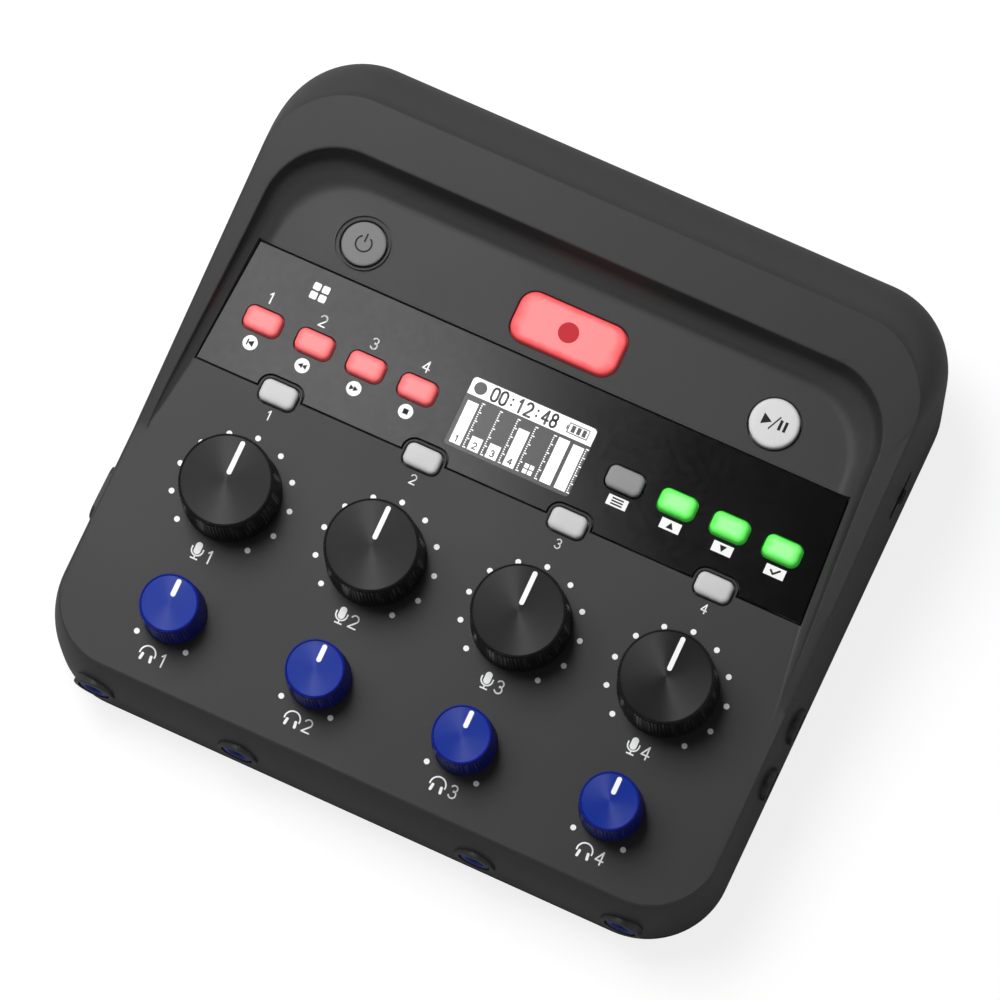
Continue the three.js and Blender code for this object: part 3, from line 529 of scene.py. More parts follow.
def lip_point(share):
    def at(rim, sy):
        if rim < lowest_rim:
            return 0.05 + 0.3 * share, 0.0
        turn, slope, r, reach = lip_of(rim, sy)
        centre = (wall_lean(rim) - reach * math.cos(turn) + r * math.sin(turn),
                  rim - reach * math.sin(turn) - r * math.cos(turn))
        at_turn = turn + (slope - turn) * share
        return centre[0] - r * math.sin(at_turn), centre[1] + r * math.cos(at_turn)
    return at


def rim_point(beyond, drop=0.0):
    def at(rim, sy):
        return wall_lean(rim) + beyond, max(0.0, rim + sy * beyond * rim_rise) - drop
    return at


inner = shoulder_rings(wall, 6)
rings = [level_ring(0, seam_height)] + shoulder_rings(0, 20, 50, 0.15, 0.1)
rings.append(mirrored([(x, y, top_height_at(y)) for x, y in half_outline(
    half_width - 2.25, front_y + 3.1, rear_y - crest_inset - 0.4, 14.8, 18.0)]))
rings.append(recess_ring(rim_point(1.3)))
rings += [recess_ring(lip_point(share / 5)) for share in range(5, -1, -1)]
rings += [recess_ring(fillet_point(share / 12)) for share in range(12, -1, -1)]
rings.append(recess_ring(lambda rim, sy: (-6.2 if rim > 6 else -5.0, 0.0)))
top_cover = new_piece("cover_top", loft(rings), case_abs, angle=28)
print("cover skin:", len(top_cover.data.polygons), "faces")

# %% The room inside
tub = loft([recess_ring(lambda rim, sy: (wall, -wall)), recess_ring(rim_point(wall + 0.3, wall)),
            recess_ring(lambda rim, sy: (wall_lean(rim) + wall + 0.3, rim + 20))])
points, faces = loft([level_ring(wall, seam_height - 2)] + inner, caps=(True, False))
ring_size, crease = len(inner[0]), corner_steps + 1
top_ring = [len(points) - ring_size + i for i in range(ring_size)]
faces += [tuple(top_ring[crease:ring_size - crease]), tuple(top_ring[ring_size - crease - 1:] + top_ring[:crease + 1])]
room = carve(new_piece("room", (points, faces), case_abs), [tub])
carve(top_cover, [solid_of(room)])
print("walls:", wall, "mm, faces", len(top_cover.data.polygons))

# %% [markdown]
# ## Openings of the cover
# Collars, the port's frame and the screw posts are joined first, and one set of cutters makes every
# hole. The sheet's pocket overlaps the keys' holes, so it comes in a second cut, with a groove.

# %% Keys, knobs and their openings
key_corner = 1.6
small_keys = {"sound_pad_a": -60, "sound_pad_b": -48, "sound_pad_c": -36, "sound_pad_d": -24,
              "menu_button": 24, "tone_button": 36, "compressor_button": 48, "noise_button": 60}
jack_x, jack_height = [-61.0, -27.5, 27.5, 61.0], 13.7
side_jacks, side_height = {"phone_jack": (-19.8, 4.1), "line_jack": (-33.4, 3.7)}, 20.185
socket_x, socket_height = (-45, -15, 15, 45), 18.6
port_y, card_y, port_height = -34, -4, 16.4
screw_x, screw_y = 69.4, 45.5


def box_key(width, depth, corner, steps=8):
    """A key's outline, as a function of how far it grows."""
    return lambda grow: rounded(width, depth, corner, grow, steps)


def round_key(diameter):
    return lambda grow: circle(diameter / 2, grow)


small_key, mute_key = box_key(8.05, 5.0, key_corner), box_key(8.0, 5.0, key_corner)
record_key, play_key, power_key = box_key(24.3, 11.2, 3.5, 12), round_key(10.8), round_key(9.6)
through = -wall - 4


def opening(outline_at, x, y):
    return chamfered_hole(lambda grow: outline_at(grow + gap), x, y, through, 0.2)


panel_holes = [opening(mute_key, x, mute_row) for x in channel_x]
panel_holes += [opening(record_key, 0, big_row), opening(play_key, play_x, big_row)]
panel_holes += [opening(power_key, power_x, big_row)]
straight_holes = [moved(small_key(gap), x, key_row) for x in small_keys.values()]
straight_holes += [moved(circle(4.53, 0, 24), x, y) for x in channel_x for y in (0, headphone_row)]
straight_holes += [moved(rounded(28.6, 15.7, 1.2), 0, display_y)]
panel_holes += [prism(outline, through, 3) for outline in straight_holes]


def wall_prism(outline, x, y, z, low, high, side):
    return on_wall(prism(outline, low, high), x, y, z, side)


def jack_boss(radius, proud, x, y, z, side):
    """A round boss on a wall, with its edge rounded; it stands out to the front or to the right."""
    out = -1 if side == "y" else 1
    steps = [(0.0, -wall / 2), (0.0, proud - 0.25), (-0.07, proud - 0.1), (-0.25, proud)]
    return on_wall(stack(lambda grow: circle(radius, grow, 48), [(grow, out * z) for grow, z in steps]), x, y, z, side)


bosses = [jack_boss(4.7, 0.5, x, front_y, jack_height, "y") for x in jack_x]
bosses += [jack_boss(radius, 0.8, half_width, y, side_height, "x") for y, radius in side_jacks.values()]
bosses += [wall_prism(rounded(12.1, 6.4, 2.4), -half_width - 0.8, port_y, port_height, 0, wall / 2 + 0.8, "x")]
bosses += [placed(prism(moved(circle(3, 0, 24), side * 62, y), gap - 8.2, -wall / 2), panel_place)
           for side in (-1, 1) for y in (-28.5, 61)]
bosses += [prism(moved(circle(3.4, 0, 24), side * screw_x, y), 5.0, panel_height_at(y) - wall / 2)
           for side in (-1, 1) for y in (-screw_y, screw_y)]
carve(top_cover, bosses, "UNION")

inside, past = -wall - 5, wall + 5
wall_holes = [wall_prism(circle(3.6, 0, 48), x, 0, jack_height, front_y - 5, front_y + past, "y") for x in jack_x]
for outline, y, z in ((circle(3.2, 0, 48), side_jacks["phone_jack"][0], side_height),
                      (circle(3.2, 0, 48), side_jacks["line_jack"][0], side_height),
                      (rounded(11.3, 3.2, 0.9), 33.3, 26.6)):
    wall_holes.append(wall_prism(outline, 0, y, z, half_width + inside, half_width + 5, "x"))
for outline, y in ((rounded(10.7, 5.0, 2.4), port_y), (rounded(27.6, 5.0, 0.6), card_y)):
    wall_holes.append(wall_prism(outline, -half_width, y, port_height, -5, past, "x"))
wall_holes += [wall_prism(circle(11.5, 0, 72), x, rear_y, socket_height, inside, 5, "y") for x in socket_x]
carve(top_cover, [placed(hole, panel_place) for hole in panel_holes] + wall_holes)
print("cover with openings:", len(top_cover.data.polygons), "faces")


def inlay_outline(grow):
    """The sheet's outline: it widens towards the front and stands clear of each mute key."""
    front, rear = 23.4 - grow, 51.6 + grow
    points = [(69.7 + grow, front), (68 + grow, rear), (-68 - grow, rear), (-69.7 - grow, front)]
    for x in channel_x:
        half, top, corner = 5.2 - grow, mute_row + 3.7 - grow, key_corner + 1.2 - grow
        points += [(x - half, front)] + arc(x - half + corner, top - corner, corner, 180, 90, 8)
        points += arc(x + half - corner, top - corner, corner, 90, 0, 8) + [(x + half, front)]
    return points


pocket = stack(inlay_outline, ((gap, -1.1), (gap, -0.12), (gap + 0.12, 0.0), (gap + 0.12, 3.0)))
groove_round, n = ((6.2, -0.6), (6.2, 3), (5.65, 3), (5.65, -0.6)), 72
points, faces = loft([moved_ring(circle(r, 0, n), power_x, big_row, z) for r, z in groove_round], (False, False))
faces += [(3 * n + i, 3 * n + (i + 1) % n, (i + 1) % n, i) for i in range(n)]
carve(top_cover, [placed(pocket, panel_place), placed((points, faces), panel_place)])
panel_up = Vector((0, -math.sin(panel_tilt), math.cos(panel_tilt)))
rim_up = Vector((0, -math.sin(rim_tilt), math.cos(rim_tilt)))
upwards = Vector((0, 0, 1))
settle(even(top_cover, panel_up, rim_up, -upwards), "case", "top_cover", slot="case_plastic")
print("finished cover:", len(top_cover.data.polygons), "faces")

# %% [markdown]
# ## Inlay sheet
# A smooth film lies flush in its pocket, with a hairline of shadow all round. It mirrors the sky on
# one side and goes black on the other. Small chamfered windows let the keys and the display through.

# %% Inlay
inlay = new_piece("inlay_sheet", stack(inlay_outline, ((0, -0.8), (0, -0.1), (-0.1, 0))), inlay_film, panel_place)
windows = [chamfered_hole(lambda grow: small_key(grow + gap), x, key_row, -3, 0.12) for x in small_keys.values()]
windows += [chamfered_hole(box_key(28.6, 15.7, 0.7), 0, display_y, -3, 0.12)]
carve(inlay, windows, place=panel_place)
settle(even(inlay, panel_up, -panel_up), "case", "panel_inlay", slot="inlay")
print("inlay:", len(inlay.data.polygons), "faces")

# %% [markdown]
# ## Geometry Nodes for what repeats
# Dots round a knob and ticks of a scale are one small shape, copied by a rule: one tree puts discs
# on an arc, another puts bars in a row. Both turn the copies into real mesh with a material.

# %% Node trees for arcs and rows
def new_tree(name, inputs):
    """An empty geometry tree with the named inputs, and the outputs of its first node."""
    tree = bpy.data.node_groups.new(name, "GeometryNodeTree")
    tree.interface.new_socket(name="Geometry", in_out="INPUT", socket_type="NodeSocketGeometry")
    for label, kind in inputs.items():
        tree.interface.new_socket(name=label, in_out="INPUT", socket_type="NodeSocket" + kind)
    tree.interface.new_socket(name="Material", in_out="INPUT", socket_type="NodeSocketMaterial")
    tree.interface.new_socket(name="Geometry", in_out="OUTPUT", socket_type="NodeSocketGeometry")
    return tree, tree.nodes.new("NodeGroupInput").outputs


def close_tree(tree, result, given, copied_to=None):
    """Copies the shape to the points if there are any, makes it real and gives it its material."""
    if copied_to:
        result = add(tree, "GeometryNodeInstanceOnPoints", None, {"Points": copied_to, "Instance": result})
    real = add(tree, "GeometryNodeRealizeInstances", None, {"Geometry": result})
    dress = add(tree, "GeometryNodeSetMaterial", None, {"Geometry": real, "Material": given["Material"]})
    feed(tree.nodes.new("NodeGroupOutput"), {"Geometry": dress})


def run_tree(piece, tree, values, angle=32):
    """The tree's result as the piece's plain mesh; inputs are set by their identifiers."""
    modifier = piece.modifiers.new(tree.name, "NODES")
    modifier.node_group = tree
    for item in tree.interface.items_tree:
        if item.in_out == "INPUT" and item.name in values:
            modifier[item.identifier] = values[item.name]
    bake(piece)
    smooth(piece.data, angle)
    print(piece.name, "from", tree.name, len(piece.data.polygons), "faces")
    return piece


arc_tree, given = new_tree("discs_on_an_arc", {
    "Count": "Int", "Arc radius": "Float", "First angle": "Float", "Step": "Float",
    "Disc radius": "Float", "Thickness": "Float"})
line = add(arc_tree, "GeometryNodeMeshLine", None, {"Count": given["Count"]})
index = add(arc_tree, "GeometryNodeInputIndex")
angle_at = maths(arc_tree, "MULTIPLY_ADD", index, given["Step"], given["First angle"])
unit = add(arc_tree, "ShaderNodeCombineXYZ", None, {
    0: maths(arc_tree, "SINE", angle_at), 1: maths(arc_tree, "COSINE", angle_at)})
out_by = add(arc_tree, "ShaderNodeVectorMath", {"operation": "SCALE"}, {0: unit, "Scale": given["Arc radius"]})
spots = add(arc_tree, "GeometryNodeSetPosition", None, {"Geometry": line, "Position": out_by})
disc = add(arc_tree, "GeometryNodeMeshCylinder", None, {
    "Vertices": 20, "Radius": given["Disc radius"], "Depth": given["Thickness"]})
close_tree(arc_tree, disc, given, spots)

row_tree, given = new_tree("bars_in_a_row", {
    "Count": "Int", "Start": "Vector", "Offset": "Vector", "Bar size": "Vector"})
line = add(row_tree, "GeometryNodeMeshLine", None, {
    "Count": given["Count"], "Start Location": given["Start"], "Offset": given["Offset"]})
close_tree(row_tree, add(row_tree, "GeometryNodeMeshCube", None, {"Size": given["Bar size"]}), given, line)


def seed(name):
    """An object with an empty mesh for a tree to fill."""
    return stand(name, bpy.data.meshes.new(name))


def row_of_bars(name, count, start, offset, size, material):
    values = {"Start": start, "Offset": offset, "Bar size": size}
    values = {label: [c * MM for c in value] for label, value in values.items()}
    return run_tree(seed(name), row_tree, {"Count": count, "Material": material, **values})


# %% [markdown]
# ## Printed dots, numbers and signs
# Real ink has a thickness, so each print is a very thin solid that sinks a little into its ground:
# dots round the knobs, plain channel numbers and small signs.

# %% Print helpers
ink = 0.03
on_panel, on_print = (-0.05, ink), (0, 2 * ink)


def flat(outline, x=0.0, y=0.0, span=on_panel, turn=0.0):
    """A thin printed shape; its outline is given round its own middle, its span as low and high."""
    c, s = math.cos(math.radians(turn)), math.sin(math.radians(turn))
    return prism([(x + px * c - py * s, y + px * s + py * c) for px, py in outline], *span)


def stroke(points, width, x=0.0, y=0.0, span=on_panel):
    """A line of even width: a bar for each stretch and a disc at each joint."""
    solids = []
    for (ax, ay), (bx, by) in zip(points, points[1:]):
        length, turn = math.hypot(bx - ax, by - ay), math.degrees(math.atan2(by - ay, bx - ax))
        solids.append(flat(bar(length, width), x + (ax + bx) / 2, y + (ay + by) / 2, span, turn))
    return solids + [flat(circle(width / 2, 0, 12), x + px, y + py, span) for px, py in points]


def half_ring(radius, width, start, finish, x, y, span=on_panel):
    outer, inner = arc(0, 0, radius + width / 2, start, finish, 18), arc(0, 0, radius - width / 2, finish, start, 18)
    return flat(outer + inner, x, y, span)


def printed(name, solids, material=white_ink):
    return new_piece(name, together(solids), material, panel_place)


glyph_paths = {
    "0": [arc(0, 0.2, 0.3, 0, 180, 8) + arc(0, -0.2, 0.3, 180, 360, 8) + [(0.3, 0.2)]],
    "1": [[(-0.17, 0.28), (0.03, 0.5), (0.03, -0.5)]],
    "2": [arc(0, 0.21, 0.29, 160, -40, 10) + [(-0.3, -0.5), (0.31, -0.5)]],
    "3": [arc(-0.01, 0.25, 0.25, 155, -85, 10), arc(-0.01, -0.215, 0.285, 85, -155, 10)],
    "4": [[(0.13, -0.5), (0.13, 0.5), (-0.3, -0.2), (0.31, -0.2)]],
    "8": [arc(0, 0.255, 0.245, 90, 450, 14), arc(0, -0.22, 0.28, 90, 450, 14)],
    ":": [[(0, 0.22), (0, 0.2)], [(0, -0.2), (0, -0.22)]]}


def figures(text, height, width, x, y, span=on_panel, pitch=0.8, narrow=1.0):
    """Plain figures drawn with a round pen; height and pen width in millimetres."""
    solids = []
    step, size = height * pitch, height - width
    for i, figure in enumerate(text):
        middle = x + (i - (len(text) - 1) / 2) * step
        for path in glyph_paths[figure]:
            solids += stroke([(px * narrow * size, py * size) for px, py in path], width, middle, y, span)
    return solids


# %% Dots, numbers and signs of the channels
def dots(name, count, radius, step, x, y):
    """Dots from the start of the travel, at minus 140 degrees, round one knob."""
    made = run_tree(seed(name), arc_tree, {
        "Count": count, "Arc radius": radius * MM, "First angle": math.radians(-140), "Step": math.radians(step),
        "Disc radius": 0.62 * MM, "Thickness": 2 * ink * MM, "Material": white_ink})
    made.data.transform(panel_place @ shift(x, y))
    return made


def microphone_sign(x, y):
    sign = [flat(rounded(1.5, 2.7, 0.74, 0, 6), x, y + 0.75), half_ring(1.25, 0.32, 180, 360, x, y + 0.35)]
    return sign + [flat(bar(width, depth), x + dx, y + dy) for width, depth, dx, dy in (
        (0.32, 0.6, -1.25, 0.6), (0.32, 0.6, 1.25, 0.6), (0.32, 0.75, 0, -1.2), (1.7, 0.32, 0, -1.6))]


def headphone_sign(x, y):
    pads = [flat(rounded(0.62, 1.7, 0.3, 0, 4), x + side * 1.05, y - 0.75, turn=side * 8) for side in (-1, 1)]
    return [half_ring(1.7, 0.34, -12, 192, x, y + 0.1)] + pads


prints = []
for channel, x in enumerate(channel_x):
    number = str(channel + 1)
    prints.append(dots("mic_dots", 11, 12.79, 28, x, 0))
    prints.append(dots("headphone_dots", 2, 8.82, 280, x, headphone_row))
    prints.append(printed("signs", microphone_sign(x - 1.45, -14.35) + headphone_sign(x - 1.5, -38.35)))
    prints.append(printed("numbers", figures(number, 3.1, 0.34, x + 1.55, -14.4)
                          + figures(number, 3.1, 0.34, x + 2.05, -38.3) + figures(number, 2.3, 0.27, x, 18.2)))
print("channel prints:", len(prints))

# %% Signs under the small keys
pad_x, menu_x, pad_signs, menu_signs = (-60.6, -48.45, -36.4, -24.35), (24.3, 36.5, 48.4, 60.4), 30.75, 31.25
prints.append(printed("pad_discs", [flat(circle(1.62, 0, 32), x, pad_signs) for x in pad_x]))
prints.append(printed("menu_plates", [flat(bar(4.5, 2.3), x, menu_signs) for x in menu_x]))
prints.append(printed("four_squares", [flat(rounded(1.65, 1.65, 0.35, 0, 4), -51.75 + sx, 46.55 + sy)
                                       for sx in (-1.02, 1.02) for sy in (-1.02, 1.02)]))


def arrow(x, y, size, turn):
    """A small triangle that points right, and up when it is turned by 90 degrees."""
    return flat([(size * 0.55, 0), (-size * 0.45, size * 0.58), (-size * 0.45, -size * 0.58)], x, y, on_print, turn)


signs = [flat(bar(0.28, 1.35), -61.2, pad_signs, on_print), arrow(-60.45, pad_signs, 1.25, 180)]
signs += [arrow(x, pad_signs, 1.0, turn) for x, turn in ((-48.85, 180), (-47.95, 180), (-36.9, 0), (-36.0, 0))]
signs += [flat(bar(1.15, 1.15), pad_x[3], pad_signs, on_print)]
signs += [flat(bar(2.6, 0.33), menu_x[0], menu_signs + rise, on_print) for rise in (-0.62, 0, 0.62)]
signs += [arrow(menu_x[1], 31.2, 1.4, 90), arrow(menu_x[2], 31.3, 1.4, 270)]
signs += stroke([(-0.95, 0.15), (-0.25, -0.5), (0.95, 0.6)], 0.42, menu_x[3], 31.2, on_print)
prints.append(printed("dark_signs", signs, dark_ink))
prints.append(printed("pad_numbers", [
    solid for i, x in enumerate(pad_x) for solid in figures(str(i + 1), 2.7, 0.3, x, 41.3)]))
panel_print = settle(merged("panel_print", prints), "case")
print("printing:", len(panel_print.data.polygons), "faces")

# %% [markdown]
# ## Knobs
# A knob is turned first: skirt, chamfer and a sunken face. A tree then pulls the skirt's points
# inwards by a wave that runs round the knob, so every rib is a real one.

# %% Knurl tree
knurl_tree, given = new_tree("knurled_skirt", {"Ribs": "Int", "Rib depth": "Float"})
where = add(knurl_tree, "GeometryNodeInputPosition")
parts = add(knurl_tree, "ShaderNodeSeparateXYZ", None, {0: where}).node.outputs
phase = maths(knurl_tree, "MULTIPLY", maths(knurl_tree, "ARCTAN2", parts[1], parts[0]), given["Ribs"])
dip = maths(knurl_tree, "MULTIPLY_ADD", maths(knurl_tree, "COSINE", phase), 0.5, -0.5)
share = add(knurl_tree, "GeometryNodeInputNamedAttribute", {"data_type": "FLOAT"}, {"Name": "knurl"})
deep = maths(knurl_tree, "MULTIPLY", maths(knurl_tree, "MULTIPLY", dip, share), given["Rib depth"])
level = add(knurl_tree, "ShaderNodeVectorMath", {"operation": "MULTIPLY"}, {1: (1, 1, 0), 0: where})
outwards = add(knurl_tree, "ShaderNodeVectorMath", {"operation": "NORMALIZE"}, {0: level})
pull = add(knurl_tree, "ShaderNodeVectorMath", {"operation": "SCALE"}, {0: outwards, "Scale": deep})
shaped = add(knurl_tree, "GeometryNodeSetPosition", None, {"Geometry": given["Geometry"], "Offset": pull})
close_tree(knurl_tree, shaped, given)
print("knurl tree:", len(knurl_tree.nodes), "nodes")

# %% [markdown]
# ## The knobs' finish
# A lathe-turned face catches light in two fans, because its fine rings stretch each highlight
# across them. A UV map that runs round the knob gives the shader that direction.

# %% Knob finishes
def spun_face(name, tone, other, specular):
    """A face turned on a lathe; its rings run along the map's first direction."""
    made, tree, shader = start_material(name)
    spin = add(tree, "ShaderNodeUVMap", {"uv_map": "spin"})
    radius = maths(tree, "MULTIPLY", add(tree, "ShaderNodeSeparateXYZ", None, {0: spin}, 1), 30.0)
    groove = add(tree, "ShaderNodeTexNoise", {"noise_dimensions": "1D"}, {"Scale": 4.5, "Detail": 2.0, "W": radius})
    feed(shader, {
        "Base Color": blend(tree, tone, other, groove), "Normal": bumps(tree, groove, 0.006, 0.5),
        "Tangent": add(tree, "ShaderNodeTangent", {"direction_type": "UV_MAP", "uv_map": "spin"}),
        "Roughness": 0.42, "Anisotropic": 1.0, "Anisotropic Rotation": 0.25, "Specular IOR Level": specular})
    return made


# ABS of the skirts in black and in blue, each with its lathe-cut face
black_skirt = moulded("knob_black_abs", "#0d0d0e", "#121213", 0.36, 0.25, 0.004, cloud=8.0, specular=0.35)
black_face = spun_face("knob_black_spun_face", "#090909", "#101011", 1.0)
blue_skirt = moulded("knob_blue_abs", "#06177c", "#081c8a", 0.38, 0.25, 0.004, cloud=8.0, specular=0.3)
blue_face = spun_face("knob_blue_spun_face", "#042686", "#072f96", 0.75)


def knob_profile(base, top, face, height):
    """(radius, height, share of the knurl) from the shaft's end up to the middle of the face."""
    lower, upper, floor = 0.8, height - 1.6, height - 0.25
    profile = [(0, -6, 0), (3, -6, 0), (3, 0.5, 0), (base - 1.0, 0.5, 0), (base - 0.25, 0.5, 0.5)]
    profile += [(base + (top - base) * i / 6, lower + (upper - lower) * i / 6, 1) for i in range(7)]
    profile += [(top, upper + 0.3, 1), (top - 0.05, upper + 0.42, 0.7), (top - 0.22, upper + 0.5, 0)]
    profile += [(face + wider, height - drop, 0) for wider, drop in (
        (0.2, 0.12), (0.08, 0.02), (-0.02, 0), (-0.12, 0.06), (-0.2, 0.24), (-0.3, 0.25))]
    return profile + [(face * share, floor, 0) for share in (0.8, 0.55, 0.3, 0.12, 0)]


def spin_map(mesh, face, height):
    """The map runs round the axis, and the sunken face takes the second material."""
    spin = mesh.uv_layers.new(name="spin")
    for side in mesh.polygons:
        middle = side.center
        around = math.atan2(middle.y, middle.x)
        if middle.z > (height - 0.3) * MM and math.hypot(middle.x, middle.y) < (face - 0.2) * MM:
            side.material_index = 1
        for corner in side.loop_indices:
            point = mesh.vertices[mesh.loops[corner].vertex_index].co
            radius = math.hypot(point.x, point.y)
            angle = math.atan2(point.y, point.x) if radius > 1e-6 else around
            angle += 2 * math.pi * round((around - angle) / (2 * math.pi))
            spin.data[corner].uv = (angle / (2 * math.pi) + 0.5, radius / (30 * MM))


def knob(name, base, top, face, height, ribs, rib_depth, pointer, x, y, skirt, cap):
    """One knob: the turned blank, its knurl, the printed pointer and the UV map round its axis."""
    profile, steps = knob_profile(base, top, face, height), ribs * 4
    turns = [2 * math.pi * i / steps for i in range(steps)]
    vertices, faces, knurl = [(0, 0, -6)], [], [0.0]
    for r, z, amount in profile[1:-1]:
        vertices += [(r * math.cos(turn), r * math.sin(turn), z) for turn in turns]
        knurl += [float(amount)] * steps
    vertices.append((0, 0, profile[-1][1]))
    knurl.append(0.0)
    last = 1 + (len(profile) - 3) * steps
    for i in range(steps):
        after = (i + 1) % steps
        faces.append((0, 1 + after, 1 + i))
        for a in range(1, last, steps):
            faces.append((a + i, a + after, a + steps + after, a + steps + i))
        faces.append((last + i, last + after, len(vertices) - 1))
    mesh = bpy.data.meshes.new(name)
    mesh.from_pydata([tuple(c * MM for c in point) for point in vertices], [], faces)
    mesh.attributes.new("knurl", "FLOAT", "POINT").data.foreach_set("value", knurl)
    mesh.materials.append(skirt)
    made = run_tree(stand(name, mesh), knurl_tree, {"Ribs": ribs, "Rib depth": rib_depth * MM, "Material": skirt}, 40)
    made.data.attributes.remove(made.data.attributes["knurl"])
    made.data.materials.append(cap)
    spin_map(made.data, face, height)
    inner, outer = pointer
    mark = new_piece(name + "_mark", flat(
        rounded(1.05, outer - inner, 0.5, 0, 6), 0, (inner + outer) / 2, (height - 0.4, height - 0.21)), white_ink)
    merged(name, [made, mark])
    made.data.transform(panel_place @ shift(x, y))
    return made


knob_kinds = (
    ("mic", "black_knob", (10.7, 10.1, 9.6, 14.0, 84, 0.2, (1.3, 8.9)), 0, black_skirt, black_face),
    ("headphone", "blue_knob", (6.9, 6.4, 5.95, 11.8, 54, 0.18, (1.5, 5.4)), headphone_row, blue_skirt, blue_face))
for channel, x in enumerate(channel_x):
    for kind, slot, sizes, y, skirt, cap in knob_kinds:
        node = f"{kind}_knob_{channel + 1}"
        settle(knob(f"knob_{kind}_{channel + 1}", *sizes, x, y, skirt, cap), node, node, slot=slot)
print("knobs done")

# %% [markdown]
# ## Keys
# Every key is a soft cap with a slightly domed top, and under the panel it widens to the flange that
# keeps it in. Its UV map, called reach, is 0 in the middle of the top and 1 from the rim downwards.

# %% Key caps
def key_cap(name, outline_at, x, y, proud, edge, dome, power, material):
    """A cap that stands that proud, its edge rounded; the power shapes the map, 2 for a round key."""
    rings = [(1.0, -3.6), (1.0, -2.75), (0.85, -2.7), (0.0, -2.7), (0.0, -0.4)]
    rings += [(-edge * (1 - math.cos(math.radians(a))), proud - edge * (1 - math.sin(math.radians(a))))
              for a in range(0, 91, 18)]
    solid = [[(px, py, z) for px, py in outline_at(grow)] for grow, z in rings]
    solid += [[(px * f, py * f, proud + dome * (1 - f * f)) for px, py in outline_at(-edge)]
              for f in (0.86, 0.6, 0.3, 0.08)]
    made = new_piece(name, loft(solid), material, angle=50)
    mesh, full = made.data, outline_at(0)
    half_x, half_y = max(px for px, py in full) * MM, max(py for px, py in full) * MM
    reach = mesh.uv_layers.new(name="reach")
    for loop in mesh.loops:
        point = mesh.vertices[loop.vertex_index].co
        share = (abs(point.x / half_x) ** power + abs(point.y / half_y) ** power) ** (1 / power)
        reach.data[loop.index].uv = (1.0 if point.z < (proud - edge) * MM else min(1.0, share), 0.0)
    mesh.transform(panel_place @ shift(x, y))
    return made


for node, x in small_keys.items():
    material, slot = (red_silicone, "red_key") if node.startswith("sound") else (green_silicone, "green_key")
    if node == "menu_button":
        material, slot = menu_silicone, "grey_key"
    settle(key_cap("key_" + node, small_key, x, key_row, 1.45, 0.85, 0.05, 4, material), node, node, slot=slot)
for channel, x in enumerate(channel_x):
    node = f"mute_button_{channel + 1}"
    cap = key_cap("key_" + node, mute_key, x, mute_row, 1.42, 1.0, 0.08, 4, mute_silicone)
    settle(cap, node, node, slot="pale_key")


def signed_key(name, outline_at, x, proud, edge, dome, power, material, signs, sign_ink, slot):
    """A large key with its printed sign, which gets an empty map too, so that the two join well."""
    cap = key_cap("key_" + name, outline_at, x, big_row, proud, edge, dome, power, material)
    sign = printed(name + "_print", signs, sign_ink)
    sign.data.uv_layers.new(name="reach")
    node = name + "_button"
    settle(merged("key_" + name, [cap, sign]), node, node, slot=slot)


signed_key("record", record_key, 0, 1.2, 0.8, 0.0, 5, record_silicone,
           [flat(circle(2.25), 0, big_row, (1.1, 1.2 + ink))], dot_ink, "red_key")
on_play, on_power = (1.2, 1.4 + ink), (0.3, 0.5 + ink)
play_signs = [flat([(1.15, 0), (-0.95, 1.25), (-0.95, -1.25)], 45.65, big_row, on_play)]
play_signs += stroke([(-0.75, -1.55), (0.75, 1.55)], 0.28, 47.45, big_row, on_play)
play_signs += [flat(bar(0.62, 2.3), play_x + aside, big_row, on_play) for aside in (1.35, 2.5)]
signed_key("play", play_key, play_x, 1.35, 0.75, 0.03, 2, play_abs, play_signs, dark_ink, "white_key")
power_signs = [half_ring(1.75, 0.34, 122, 418, power_x, big_row, on_power),
               flat(bar(0.34, 1.9), power_x, big_row + 1.35, on_power)]
signed_key("power", power_key, power_x, 0.45, 0.35, 0.02, 2, power_abs, power_signs, dark_ink, "grey_key")
print("keys done")

# %% [markdown]
# ## Display
# A small liquid-crystal panel, dark where its cells are shut and bright where the lamp behind shines
# through. It shows a clock, a charge sign, numbered level bars and the scales beside them.

# %% Display picture
# Glass over liquid crystal: smooth, cool grey when dark
screen_dark = moulded("screen_dark_crystal", "#454546", "#4b4b4c", 0.22, 1.5, 0.0005, uneven=0.02)
# The same glass where the lamp shines through
screen_lit = moulded("screen_lit_crystal", "#f2f3f4", "#fafafa", 0.3, 1.5, 0.0005, uneven=0.02)
feed(screen_lit.node_tree.nodes["Principled BSDF"], {"Emission Color": paint("#ffffff"), "Emission Strength": 0.3})

glass_top, strip_y, bars_foot = -0.04, 41.7, 28.75
lit_span, shut_span = (glass_top - 0.03, glass_top + 0.015), (glass_top, glass_top + 0.03)
glass_steps = ((-0.1, -3.0), (-0.1, glass_top - 0.08), (-0.02, glass_top))
screen = printed("screen_glass", [stack(box_key(28.84, 15.94, 0.8), glass_steps, 0, display_y)], screen_dark)
back = printed("screen_back", [prism(moved(rounded(30.8, 17.9, 0.6), 0, display_y), -7.9, -2.75)], socket_nylon)
strip = [(14.25, -1.96), (14.25, 1.0)] + arc(13.3, 1.0, 0.95, 0, 90, 6)
strip += arc(-13.3, 1.0, 0.95, 90, 180, 6) + [(-14.25, 1.0), (-14.25, -1.96)]
bars = {-12.15: 9.7, -8.05: 3.1, -3.95: 3.2, 0.15: 8.6, 8.7: 10.3, 12.05: 10.1}
lit = [flat(strip, 0, strip_y, lit_span)]
lit += [flat(bar(2.5, high), x, bars_foot + high / 2, lit_span) for x, high in bars.items()]
